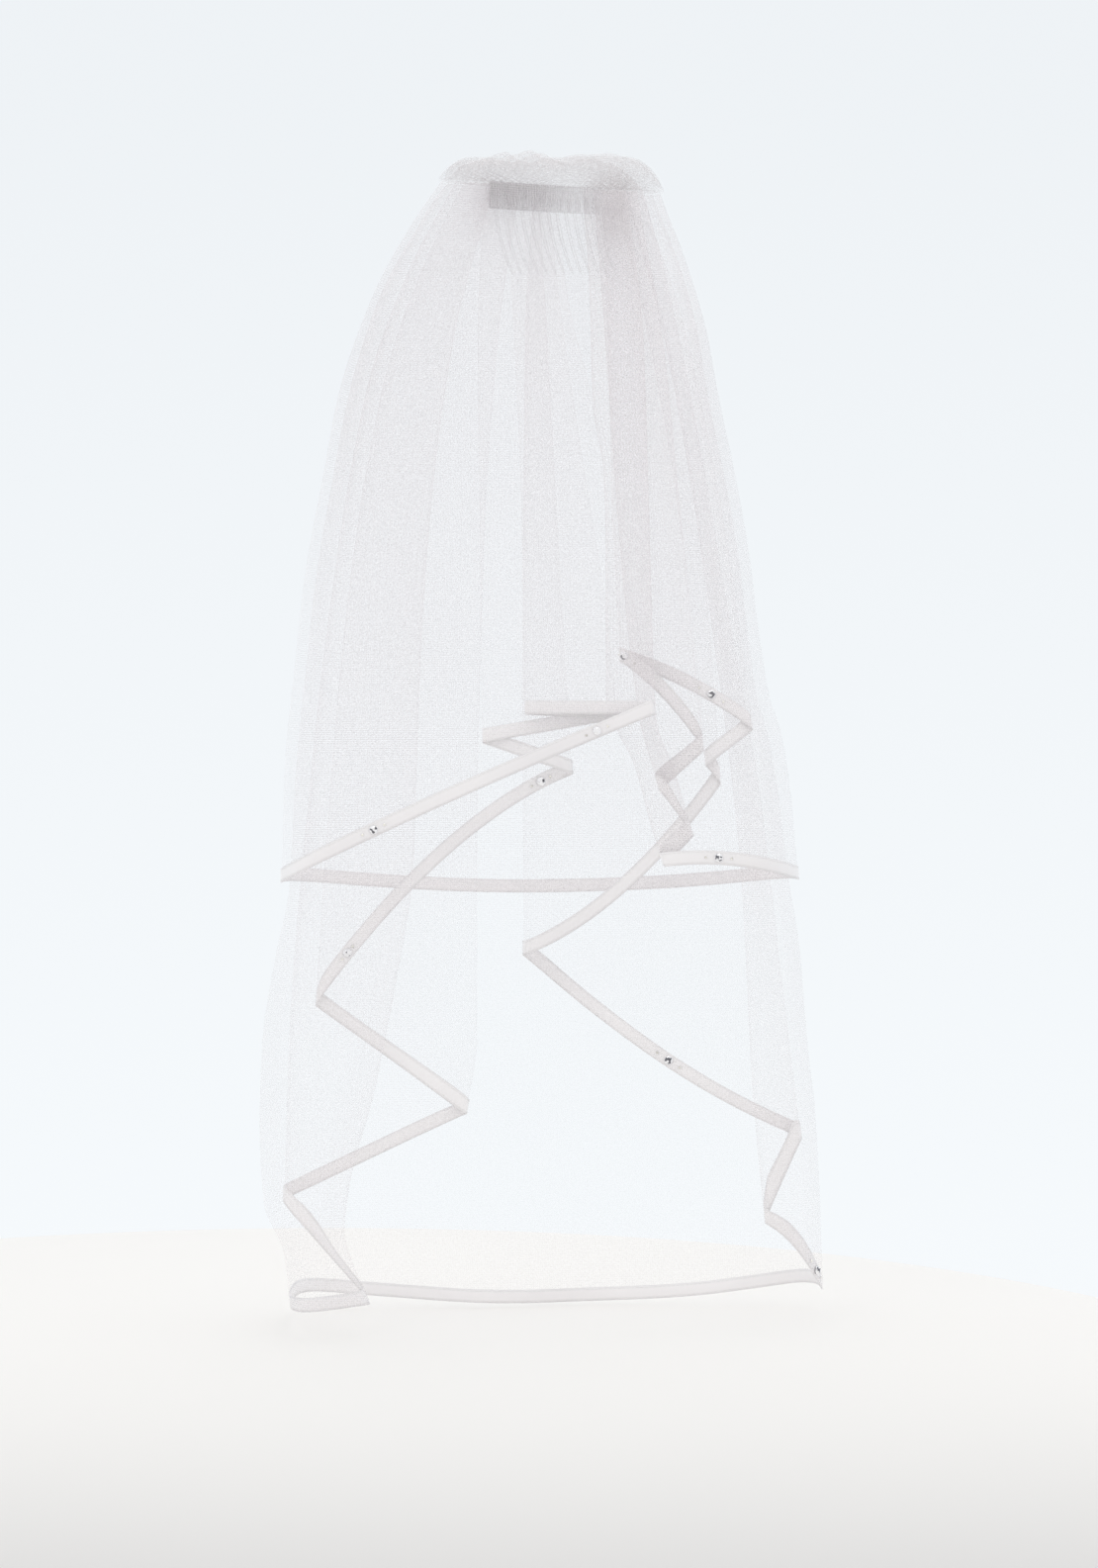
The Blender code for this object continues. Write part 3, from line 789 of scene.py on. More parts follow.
def ring_faces(rings: int, sides: int, closed: bool = False) -> list[tuple[int, ...]]:
    """Faces between rings of points that come one after another.

    Args:
        rings: how many rings.
        sides: points on each ring.
        closed: whether the last ring joins the first.

    Returns:
        The faces as vertex numbers.
    """
    faces = []
    for ring in range(rings if closed else rings - 1):
        low, high = ring * sides, (ring + 1) % rings * sides
        for corner in range(sides):
            after = (corner + 1) % sides
            faces.append((low + corner, low + after, high + after, high + corner))
    return faces


def cap_faces(rings: int, sides: int) -> list[tuple[int, ...]]:
    """Faces that close the first and the last of some rings of points.

    Args:
        rings: how many rings.
        sides: points on each ring.

    Returns:
        The two faces as vertex numbers.
    """
    return [tuple(reversed(range(sides))), tuple(range((rings - 1) * sides, rings * sides))]


def grid_squares(grid: np.ndarray) -> np.ndarray:
    """Corners of the squares of a grid of vertex numbers.

    Args:
        grid: the numbers, a row for each level.

    Returns:
        Upper left, upper right, lower right and lower left corner, a row for each square.
    """
    corners = (grid[:-1, :-1], grid[:-1, 1:], grid[1:, 1:], grid[1:, :-1])
    return np.stack([corner.ravel() for corner in corners], axis=-1)


def shell(
    name: str, x: np.ndarray, y: np.ndarray, drop: np.ndarray, normals: tuple[np.ndarray, np.ndarray],
    skins: tuple[float, float], cloth: tuple[np.ndarray, np.ndarray], finish: bpy.types.Material,
) -> bpy.types.Object:
    """A closed thin shell over a grid of sections.

    Args:
        name: the piece's name.
        x: X of the grid in millimetres.
        y: Y of the grid.
        drop: distance below the comb.
        normals: plan normals of the grid.
        skins: distances of the two skins along the normals, outer first.
        cloth: place in the flat cloth, along the hem and down it, and how full the net is gathered.
        finish: its material.

    Returns:
        The new object, with a UV map named cloth and a value named fullness on its points.
    """
    skin_points = []
    for distance in skins:
        skin = np.stack((x + normals[0] * distance, y + normals[1] * distance, -drop), axis=-1)
        skin_points.append(skin.reshape(-1, 3))
    count = x.size
    grid = np.arange(count).reshape(x.shape)
    squares = grid_squares(grid)
    faces = [squares[:, TURNED], squares + count]
    for line in (grid[0], grid[-1][::-1], grid[:, -1], grid[:, 0][::-1]):
        start, end = line[:-1], line[1:]
        faces.append(np.stack((start, end, end + count, start + count), axis=-1))
    piece = new_piece(name, np.concatenate(skin_points) * MM, np.concatenate(faces).tolist(), finish)
    along, fullness = cloth
    place = np.stack((np.broadcast_to(along, x.shape), drop), axis=-1).reshape(-1, 2)
    lay_cloth(piece.data, np.tile(place, (2, 1)), np.tile(fullness.ravel(), 2))
    face_out(piece.data)
    return piece


def open_sheet(
    name: str, x: np.ndarray, y: np.ndarray, drop: np.ndarray, cloth: tuple[np.ndarray, np.ndarray],
    finish: bpy.types.Material,
) -> bpy.types.Object:
    """A single sheet of net over a grid of sections.

    Args:
        name: the piece's name.
        x: X of the grid in millimetres.
        y: Y of the grid.
        drop: distance below the comb.
        cloth: place in the flat cloth along the hem, and how full the net is gathered.
        finish: its material.

    Returns:
        The new object, with a UV map named cloth and a value named fullness on its points.
    """
    points = np.stack((x, y, -drop), axis=-1).reshape(-1, 3) * MM
    faces = grid_squares(np.arange(x.size).reshape(x.shape))[:, TURNED].tolist()
    piece = new_piece(name, points, faces, finish)
    along, fullness = cloth
    place = np.stack((np.broadcast_to(along, x.shape), drop), axis=-1).reshape(-1, 2)
    lay_cloth(piece.data, place, fullness.ravel())
    return piece


def lay_cloth(mesh: bpy.types.Mesh, place: np.ndarray, values: np.ndarray) -> None:
    """Gives a mesh its place in the flat cloth.

    Args:
        mesh: the mesh.
        place: along the hem and down it for each point, in millimetres.
        values: how full the net is gathered, or how far across the ribbon it is, at each point.
    """
    corners = np.empty(len(mesh.loops), dtype=np.int32)
    mesh.loops.foreach_get("vertex_index", corners)
    flat = (place * MM).astype(np.float32)
    mesh.uv_layers.new(name="cloth").data.foreach_set("uv", flat[corners].ravel())
    kept = mesh.attributes.new("fullness", "FLOAT", "POINT")
    kept.data.foreach_set("value", values.astype(np.float32))


def face_out(mesh: bpy.types.Mesh) -> None:
    """Turns every face of a closed mesh outwards.

    Args:
        mesh: the mesh.
    """
    work = bmesh.new()
    work.from_mesh(mesh)
    bmesh.ops.recalc_face_normals(work, faces=work.faces)
    work.to_mesh(mesh)
    work.free()


@dataclass
class Soup:
    """Vertices and faces of several shapes that make one piece."""

    points: list = field(default_factory=list)
    faces: list = field(default_factory=list)

    def add(self, points: list, faces: list) -> None:
        """Adds a shape.

        Args:
            points: its vertices in metres.
            faces: its faces, numbered from its own first vertex.
        """
        start = len(self.points)
        self.points += [tuple(point) for point in points]
        self.faces += [tuple(corner + start for corner in face) for face in faces]

    def tube(self, line: list[Vector], radii: list[float], sides: int, closed: bool = False) -> None:
        """Adds a round tube.

        Args:
            line: its middle line in metres.
            radii: its radius at each point of the line.
            sides: points round it.
            closed: whether it is a loop; if not, its ends are capped.
        """
        points = []
        count = len(line)
        side = None
        for index, point in enumerate(line):
            before = line[index - 1] if index or closed else point
            after = line[(index + 1) % count] if index + 1 < count or closed else point
            tangent = (after - before).normalized()
            if side is None:
                side = tangent.orthogonal().normalized()
            side = (side - tangent * side.dot(tangent)).normalized()
            up = tangent.cross(side)
            for corner in range(sides):
                angle = math.tau * corner / sides
                points.append(point + (side * math.cos(angle) + up * math.sin(angle)) * radii[index])
        caps = [] if closed else cap_faces(count, sides)
        self.add(points, ring_faces(count, sides, closed) + caps)

    def piece(self, name: str, finish: bpy.types.Material) -> bpy.types.Object:
        """The piece made of all the shapes added."""
        return new_piece(name, self.points, self.faces, finish)


# Shader maths


class Value:
    """A socket that takes part in Python expressions; each operation adds a Math node."""

    def __init__(self, graph: Graph, socket: bpy.types.NodeSocket) -> None:
        """Wraps a socket of a graph."""
        self.graph = graph
        self.socket = socket

    def math(self, operation: str, *others: Value | float, clamp: bool = False) -> Value:
        """A Math node on this value.

        Args:
            operation: the node's operation.
            others: its further inputs.
            clamp: whether the result is held from 0 to 1.

        Returns:
            The result.
        """
        return self.graph.add("ShaderNodeMath", {"operation": operation, "use_clamp": clamp}, {
            index: value for index, value in enumerate((self, *others))
        })

    def __add__(self, other: Value | float) -> Value:
        """Sum."""
        return self.math("ADD", other)

    def __radd__(self, other: float) -> Value:
        """Sum with a number first."""
        return self.math("ADD", other)

    def __sub__(self, other: Value | float) -> Value:
        """Difference."""
        return self.math("SUBTRACT", other)

    def __rsub__(self, other: float) -> Value:
        """A number less this value."""
        return self.graph.number("SUBTRACT", other, self)

    def __mul__(self, other: Value | float) -> Value:
        """Product."""
        return self.math("MULTIPLY", other)

    def __rmul__(self, other: float) -> Value:
        """Product with a number first."""
        return self.math("MULTIPLY", other)

    def __truediv__(self, other: Value | float) -> Value:
        """Quotient."""
        return self.math("DIVIDE", other)

    def __rtruediv__(self, other: float) -> Value:
        """A number divided by this value."""
        return self.graph.number("DIVIDE", other, self)


class Graph:
    """The node tree of a material or world that is being made."""

    def __init__(self, tree: bpy.types.NodeTree, flat: bool = False) -> None:
        """Takes a tree and finds its Principled shader, if it has one.

        Args:
            tree: the tree.
            flat: whether its noise has two dimensions, for a pattern in the flat cloth.
        """
        self.tree = tree
        self.flat = flat
        self.shader = tree.nodes.get("Principled BSDF")

    def put(self, socket: bpy.types.NodeSocket, value: object) -> None:
        """Links or sets a socket.

        Args:
            socket: the input.
            value: a Value, an output socket, or a plain number, colour or vector.
        """
        if isinstance(value, Value):
            value = value.socket
        if isinstance(value, bpy.types.NodeSocket):
            self.tree.links.new(value, socket)
        else:
            socket.default_value = value

    def add(self, kind: str, settings: dict, inputs: dict, output: int | str = 0) -> Value:
        """Adds a node.

        Args:
            kind: the node's type.
            settings: its properties, set first.
            inputs: values or links by socket name or number.
            output: the output that is wanted.

        Returns:
            That output.
        """
        node = self.tree.nodes.new(kind)
        for name, value in settings.items():
            setattr(node, name, value)
        for name, value in inputs.items():
            self.put(node.inputs[name], value)
        return Value(self, node.outputs[output])

    def dress(self, looks: dict[str, object]) -> None:
        """Sets or links inputs of the Principled shader.

        Args:
            looks: values or links by the input's name.
        """
        for name, value in looks.items():
            self.put(self.shader.inputs[name], value)

    def number(self, operation: str, first: float, second: Value) -> Value:
        """A Math node with a number first and a value second."""
        return self.add("ShaderNodeMath", {"operation": operation}, {0: first, 1: second})

    def mix_colour(self, share: Value | float, first: object, second: object) -> Value:
        """A blend of two colours.

        Args:
            share: 0 gives the first and 1 the second.
            first: a colour of three parts, or a Value.
            second: the same.

        Returns:
            The blend.
        """
        colours = [(*colour, 1.0) if isinstance(colour, tuple) else colour for colour in (first, second)]
        return self.add("ShaderNodeMix", {"data_type": "RGBA"}, {0: share, 6: colours[0], 7: colours[1]}, 2)

    def cloth_place(self, stretch: tuple[float, float]) -> Value:
        """The place in the flat cloth, scaled along the hem and down it."""
        flat = self.add("ShaderNodeUVMap", {"uv_map": "cloth"}, {})
        return self.add("ShaderNodeMapping", {}, {"Vector": flat, "Scale": (*stretch, 1.0)})

    def noise(self, place: Value, scale: float, detail: float = 2.0) -> Value:
        """A noise from 0 to 1.

        Args:
            place: where to read it.
            scale: how fine it is, in cells for each metre.
            detail: how many finer layers it has.

        Returns:
            Its value.
        """
        flat = {"noise_dimensions": "2D"} if self.flat else {}
        inputs = {"Vector": place, "Scale": scale, "Detail": detail}
        return self.add("ShaderNodeTexNoise", flat, inputs, "Fac")

    def cloth_noise(self, stretch: tuple[float, float], detail: float = 1.0) -> Value:
        """A noise in the flat cloth, so many times finer along the hem and down it."""
        return self.noise(self.cloth_place(stretch), 1.0, detail)

    def kept(self, name: str) -> Value:
        """A value that a piece keeps on its points."""
        return self.add("ShaderNodeAttribute", {"attribute_name": name}, {}, "Fac")

    def facing(self) -> Value:
        """How far a face turns away from sight, from 0 to 1."""
        return self.add("ShaderNodeLayerWeight", {}, {"Blend": 0.5}, "Facing")

    def object_place(self) -> Value:
        """The place on the piece itself, in metres."""
        return self.add("ShaderNodeTexCoord", {}, {}, "Object")

    def part(self, place: Value, axis: str) -> Value:
        """One of the three parts of a place."""
        return self.add("ShaderNodeSeparateXYZ", {}, {"Vector": place}, axis)

    def share_between(self, value: Value, start: float, end: float) -> Value:
        """Where a value lies from a start to an end, held from 0 to 1."""
        return self.add("ShaderNodeMapRange", {}, {"Value": value, "From Min": start, "From Max": end})


def new_material(name: str, flat: bool = False) -> tuple[bpy.types.Material, Graph]:
    """A new material and its graph.

    Args:
        name: the material's name.
        flat: whether its noise lies in the flat cloth.

    Returns:
        Both.
    """
    made = bpy.data.materials.new(name)
    made.use_nodes = True
    return made, Graph(made.node_tree, flat)


@dataclass(frozen=True)
class NetFinish:
    """Fine sheer net: threads that veil a small share of what is behind, denser where it is gathered.

    A scale is how fine a pattern is along the hem and down it, in cells for each metre. What shows through
    falls with the density of the net along the line of sight, as it does in mist.
    """

    name: str = "sheer_net"
    colour: tuple[float, float, float] = (0.868, 0.832, 0.846)
    shade: float = 0.97
    thickness: float = 0.052
    mesh_size: float = 0.0016
    mesh_unevenness: float = 0.4
    thread_thinness: float = 5.0
    thread_weight: float = 1.5
    hole_weight: float = 0.55
    streaks: float = 0.16
    streak_scale: tuple[float, float] = (330.0, 2.5)
    streak_start: float = 0.6
    grain: float = 1.3
    grain_scale: tuple[float, float] = (570.0, 570.0)
    clouds: float = 0.35
    cloud_scale: tuple[float, float] = (9.0, 5.0)
    least_slant: float = 0.55
    roughness: float = 0.8
    shine: float = 0.15

    def make(self) -> bpy.types.Material:
        """The net's material.

        Returns:
            The material.
        """
        made, graph = new_material(self.name, flat=True)
        edge = graph.add(
            "ShaderNodeTexVoronoi", {"feature": "DISTANCE_TO_EDGE", "voronoi_dimensions": "2D"},
            {"Vector": graph.cloth_place((1.0, 1.0)), "Scale": 1 / self.mesh_size,
             "Randomness": self.mesh_unevenness}, "Distance")
        threads = (1 - edge * self.thread_thinness).math("MAXIMUM", 0.0)
        streak = graph.cloth_noise(self.streak_scale)
        speck = graph.cloth_noise(self.grain_scale)
        cloud = graph.cloth_noise(self.cloud_scale, 2.0)
        full = graph.kept("fullness")
        slant = (1 - graph.facing()).math("MAXIMUM", self.least_slant)
        uneven = (streak - 0.5) * (2 * self.streaks) * (full - self.streak_start).math("MINIMUM", 1.0) + 1
        uneven = uneven * (cloud * (2 * self.clouds) + (1 - self.clouds))
        uneven = uneven * ((speck - 0.5) * (2 * self.grain) + 1)
        mesh = threads * self.thread_weight + self.hole_weight
        density = (full * uneven * mesh * self.thickness / slant).math("MAXIMUM", 0.0)
        shade = tuple(self.shade * part for part in self.colour)
        graph.dress({
            "Base Color": graph.mix_colour(streak, self.colour, shade),
            "Alpha": 1 - graph.number("POWER", math.exp(-1), density),
            "Roughness": self.roughness,
            "Specular IOR Level": self.shine,
        })
        return made


@dataclass(frozen=True)
class SatinFinish:
    """White satin ribbon: a soft shine, a fine rib across its width, and painted shade at its rims and its
    sewing.

    The darks are how much each mark takes the ribbon from its colour to its shade: mottle and long stretches
    vary it at random, and the rims, the sewing groove and the lower edge take painted shade.
    """

    name: str = "satin_ribbon"
    colour: tuple[float, float, float] = (0.965, 0.95, 0.953)
    shade: tuple[float, float, float] = (0.87, 0.85, 0.86)
    rib_scale: float = 420.0
    rib_unevenness: float = 0.4
    rib_height: float = 0.0001
    rib_strength: float = 0.35
    mottle_scale: tuple[float, float] = (30.0, 60.0)
    mottle_dark: float = 0.25
    stretch_scale: tuple[float, float] = (8.0, 12.0)
    stretch_dark: float = 0.9
    stretch_least: float = 0.4
    # painted shade at both rims, along the sewing groove and towards the lower edge, set by the fields below
    rim_power: float = 6.0
    rim_painted_shade: float = 0.5
    sewing_place: float = 0.72
    sewing_narrowness: float = 12.0
    sewing_groove_painted_shade: float = 0.4
    lower_edge_painted_shade: float = 0.25
    roughness: float = 0.32
    roughness_change: float = 0.2
    sheen: float = 0.25

    def make(self) -> bpy.types.Material:
        """The ribbon's material.

        Returns:
            The material.
        """
        made, graph = new_material(self.name, flat=True)
        rib = graph.add(
            "ShaderNodeTexWave", {"wave_type": "BANDS", "bands_direction": "X"},
            {"Vector": graph.cloth_place((1.0, 1.0)), "Scale": self.rib_scale,
             "Distortion": self.rib_unevenness, "Detail": 1.0}, "Fac")
        mottle = graph.cloth_noise(self.mottle_scale, 3.0)
        across = graph.kept("fullness")
        middle = (across - 0.5).math("ABSOLUTE") * 2
        groove = ((middle - self.sewing_place).math("ABSOLUTE") * self.sewing_narrowness).math("MINIMUM", 1.0)
        stretch = graph.cloth_noise(self.stretch_scale)
        # painted shade at both rims and along the sewing groove
        dark = middle.math("POWER", self.rim_power) * self.rim_painted_shade + (1 - groove) * self.sewing_groove_painted_shade
        # mottle varies the tone at random; the lower edge takes painted shade
        dark = dark + mottle * self.mottle_dark + across * self.lower_edge_painted_shade
        dark = dark + (stretch - self.stretch_least) * self.stretch_dark
        dark = dark.math("MAXIMUM", 0.0).math("MINIMUM", 1.0)
        bump = {"Height": rib, "Distance": self.rib_height, "Strength": self.rib_strength}
        graph.dress({
            "Base Color": graph.mix_colour(dark, self.colour, self.shade),
            "Roughness": mottle * self.roughness_change + self.roughness,
            "Normal": graph.add("ShaderNodeBump", {}, bump, "Normal"),
            "Sheen Weight": self.sheen,
        })
        return made


@dataclass(frozen=True)
class FloorFinish:
    """Matt pale floor, a little darker towards the near edge, as painted shade where the light from above
    falls off towards the camera.
    """

    name: str = "pale_floor"
    # painted shade: the near colour is darker, where the light falls off towards the camera
    far: tuple[float, float, float] = (0.93, 0.912, 0.886)
    near: tuple[float, float, float] = (0.76, 0.743, 0.724)
    start: float = -0.1
    end: float = -0.95
    roughness: float = 0.8
    shine: float = 0.2

    def make(self) -> bpy.types.Material:
        """The floor's material.

        Returns:
            The material.
        """
        made, graph = new_material(self.name)
        share = graph.share_between(graph.part(graph.object_place(), "Y"), self.start, self.end)
        graph.dress({
            # painted shade: the floor darkens towards the near edge
            "Base Color": graph.mix_colour(share * share, self.far, self.near),
            "Roughness": self.roughness,
            "Specular IOR Level": self.shine,
        })
        return made


@dataclass(frozen=True)
class PlainFinish:
    """A finish with one colour, a little mottle and its own shine, for thread and the stones' settings."""

    name: str
    colour: tuple[float, float, float]
    roughness: float
    metallic: float = 0.0
    refraction: float = 1.45
    mottle: float = 0.03
    mottle_size: float = 0.01
    roughness_change: float = 0.06

    def make(self) -> bpy.types.Material:
        """The plain material.

        Returns:
            The material.
        """
        made, graph = new_material(self.name)
        noise = graph.noise(graph.object_place(), 1 / self.mottle_size, 3.0)
        dark = tuple(part * (1 - self.mottle) for part in self.colour)
        graph.dress({
            "Base Color": graph.mix_colour(noise, self.colour, dark),
            "Roughness": noise * self.roughness_change + self.roughness,
            "Metallic": self.metallic,
            "IOR": self.refraction,
        })
        return made


@dataclass(frozen=True)
class StoneFinish:
    """Foil-backed cut stone: some facets painted bright as glints and some painted dark as reflections, over
    its own shine.
    """

    name: str = "cut_stone"
    bright: tuple[float, float, float] = (0.96, 0.96, 0.97)
    dark: tuple[float, float, float] = (0.10, 0.10, 0.12)
    facet_size: float = 0.0021
    dark_share: float = 0.3
    roughness: float = 0.02
    roughness_change: float = 0.06
    metallic: float = 0.35
    refraction: float = 1.9

    def make(self) -> bpy.types.Material:
        """The stone's material.

        Returns:
            The material.
        """
        made, graph = new_material(self.name)
        place = {"Vector": graph.object_place(), "Scale": 1 / self.facet_size}
        facet = graph.add("ShaderNodeTexVoronoi", {}, place, "Color")
        pick = graph.add("ShaderNodeSeparateColor", {}, {"Color": facet})
        graph.dress({
            # painted glints and painted dark reflections, picked facet by facet
            "Base Color": graph.mix_colour(pick.math("LESS_THAN", self.dark_share), self.bright, self.dark),
            "Roughness": pick * self.roughness_change + self.roughness,
            "Metallic": self.metallic,
            "IOR": self.refraction,
        })
        return made


@dataclass(frozen=True)
class ClearFinish:
    """Clear polished plastic: almost unseen face on, denser where it turns away and darkened there by a
    painted reflection, the rim colour.
    """

    name: str = "polished_clear_plastic"
    colour: tuple[float, float, float] = (0.80, 0.79, 0.80)
    # painted reflection: the dark colour that faces take as they turn away
    rim: tuple[float, float, float] = (0.20, 0.20, 0.21)
    least: float = 0.04
    most: float = 0.95
    bar_share: float = 0.15
    bar_bottom: float = -0.0106
    power: float = 2.0
    waver_scale: float = 400.0
    roughness: float = 0.06
    roughness_change: float = 0.04
    refraction: float = 1.49

    def make(self) -> bpy.types.Material:
        """The plastic's material.

        Returns:
            The material.
        """
        made, graph = new_material(self.name)
        place = graph.object_place()
        waver = graph.noise(place, self.waver_scale)
        bar = graph.part(place, "Z").math("GREATER_THAN", self.bar_bottom)
        # edge drives the denser alpha and the painted reflection of the dark rim, with only a small share of
        # both on the bar
        edge = graph.facing().math("POWER", self.power) * (1 - bar * (1 - self.bar_share))
        graph.dress({
            "Base Color": graph.mix_colour(edge, self.colour, self.rim),
            "Alpha": edge * (self.most - self.least) + self.least,
            "Roughness": waver * self.roughness_change + self.roughness,
            "IOR": self.refraction,
        })
        return made


class Finish(Enum):
    """The finishes that the veil's pieces wear."""

    NET = NetFinish()
    # gathered net: its darker colour is painted shade in the head's dense gathers
    DENSE_NET_PAINTED_SHADE = NetFinish(
        "gathered_net_painted_shade", (0.765, 0.735, 0.74), thickness=0.048, streaks=1.8, least_slant=0.5)
    # packed net: its darker colour is painted shade within the packed gathers
    PACKED_NET_PAINTED_SHADE = NetFinish("packed_net_painted_shade", (0.65, 0.625, 0.64), thickness=0.7, streaks=0.9)
    SATIN = SatinFinish()
    THREAD = PlainFinish("sewing_thread", (0.86, 0.85, 0.84), 0.6, mottle=0.1, mottle_size=0.001)
    CLEAR = ClearFinish()
    STONE = StoneFinish()
    BINDING = PlainFinish("binding_thread", (0.66, 0.63, 0.65), 0.7)
    # small stones: a yellowish tone of their own, with facets painted bright and dark as glints and
    # reflections
    SMALL_STONE = StoneFinish(name="small_stone", bright=(0.93, 0.91, 0.84), dark=(0.62, 0.6, 0.55))
    SETTING = PlainFinish("stone_setting", (0.93, 0.93, 0.95), 0.15, metallic=1.0)
    FLOOR = FloorFinish()

    def material(self) -> bpy.types.Material:
        """This finish's material, made once."""
        return bpy.data.materials.get(self.value.name) or self.value.make()


# The veil's pieces


@dataclass
class NetTier:
    """A tier of net, its ribbon, the ribbon's stitches and its stones. Millimetres.

    ribbon_face and stone_face are 1 or -1: the side of the net, along the grid's normals or against them,
    that the ribbon is sewn to and the side that the stones sit on.
    """

    name: str
    route: tuple[str, ...]
    other: tuple[str, ...]
    low_rows: int
    spacing: float
    seed: int
    ribbon_face: int
    stones: tuple[tuple[str, float], ...]
    other_nodes: tuple[str, ...] = ()
    stone_face: int = -1
    ribbon_lift: float = 0.35
    ribbon_wall: float = 0.4
    bare_lift: float = 0.05
    stitch_inset: float = 0.14
    stitch_lift: float = 0.02

    def __post_init__(self) -> None:
        """Works out the tier's grid."""
        self.tier = Tier(self.route, self.other, self.low_rows, self.spacing, self.seed)

    def build_net(self) -> bpy.types.Object:
        """The net, in place of its CAD solids.

        Returns:
            The net.
        """
        tier = self.tier
        piece = open_sheet(
            f"{self.name}_net", tier.x, tier.y, tier.drop, (tier.along, tier.fullness), Finish.NET.material())
        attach(piece, BODY)
        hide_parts(self.name, *self.other_nodes)
        return piece

    def build_ribbon(self) -> bpy.types.Object:
        """The satin ribbon, on the face of the net that it is sewn to, in place of its CAD solid.

        Returns:
            The ribbon.
        """
        tier = self.tier
        rows = slice(-tier.HEM_ROWS - 1, None)
        near = self.ribbon_face * self.ribbon_lift
        far = near + self.ribbon_face * self.ribbon_wall
        side, front = tier.normals()
        across = np.tile(np.linspace(0, 1, tier.HEM_ROWS + 1)[:, None], (1, tier.x.shape[1]))
        piece = shell(
            f"{self.name}_satin", tier.x[rows], tier.y[rows], tier.drop[rows], (side[rows], front[rows]),
            (far, near), (tier.along, across), Finish.SATIN.material())
        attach(piece, BODY)
        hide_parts(f"{self.name}_ribbon")
        return piece

    def ribbon_point(self, column: int, share: float, lift: float, face: int) -> tuple[Vector, Vector]:
        """A point over the ribbon, on one face of the cloth.

        Args:
            column: the section of the grid.
            share: 0 at the ribbon's upper edge and 1 at its lower.
            lift: distance off the cloth's face in millimetres.
            face: the face, 1 or -1 along the grid's normals.

        Returns:
            The point in metres and the direction out of the face.
        """
        tier = self.tier
        side, front = tier.normals()
        top = tier.x.shape[0] - tier.HEM_ROWS - 1
        place = top + share * tier.HEM_ROWS
        low = min(int(place), tier.x.shape[0] - 2)
        part = place - low
        cover = self.ribbon_lift + self.ribbon_wall if face == self.ribbon_face else self.bare_lift
        out = face * (cover + lift)
        normal = Vector((side[low, column], front[low, column], 0)) * face
        values = []
        for grid, push in ((tier.x, side), (tier.y, front), (-tier.drop, None)):
            value = grid[low, column] * (1 - part) + grid[low + 1, column] * part
            values.append(value + (push[low, column] * out if push is not None else 0.0))
        return Vector(values) * MM, normal.normalized()

    def build_stitches(self) -> bpy.types.Object:
        """Two rows of small straight stitches along the ribbon, by a tree of Geometry Nodes.

        Returns:
            The stitches.
        """
        lines = bpy.data.meshes.new(f"{self.name}_stitch_lines")
        points, edges = [], []
        for share in (self.stitch_inset, 1 - self.stitch_inset):
            start = len(points)
            for column in range(self.tier.x.shape[1]):
                points.append(self.ribbon_point(column, share, self.stitch_lift, self.ribbon_face)[0])
            edges += [(step, step + 1) for step in range(start, len(points) - 1)]
        lines.from_pydata(points, edges, [])
        piece = StitchRow().sew(add_object(f"{self.name}_stitches", lines))
        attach(piece, BODY)
        return piece

    def build_stones(self) -> list[bpy.types.Object]:
        """The groups of cut stones on the ribbon and their settings.

        Returns:
            The large stones, the small ones and the settings.
        """
        cut, small, held = Soup(), Soup(), Soup()
        group = StoneGroup()
        for layer, across in self.stones:
            group.place(self, self.tier.column(layer, across), (cut, small, held))
        made = []
        for soup, name, finish in (
            (cut, "stones", Finish.STONE), (small, "small_stones", Finish.SMALL_STONE),
            (held, "settings", Finish.SETTING),
        ):
            piece = soup.piece(f"{self.name}_{name}", finish.material())
            face_out(piece.data)
            piece.data.shade_flat()
            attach(piece, BODY)
            made.append(piece)
        return made


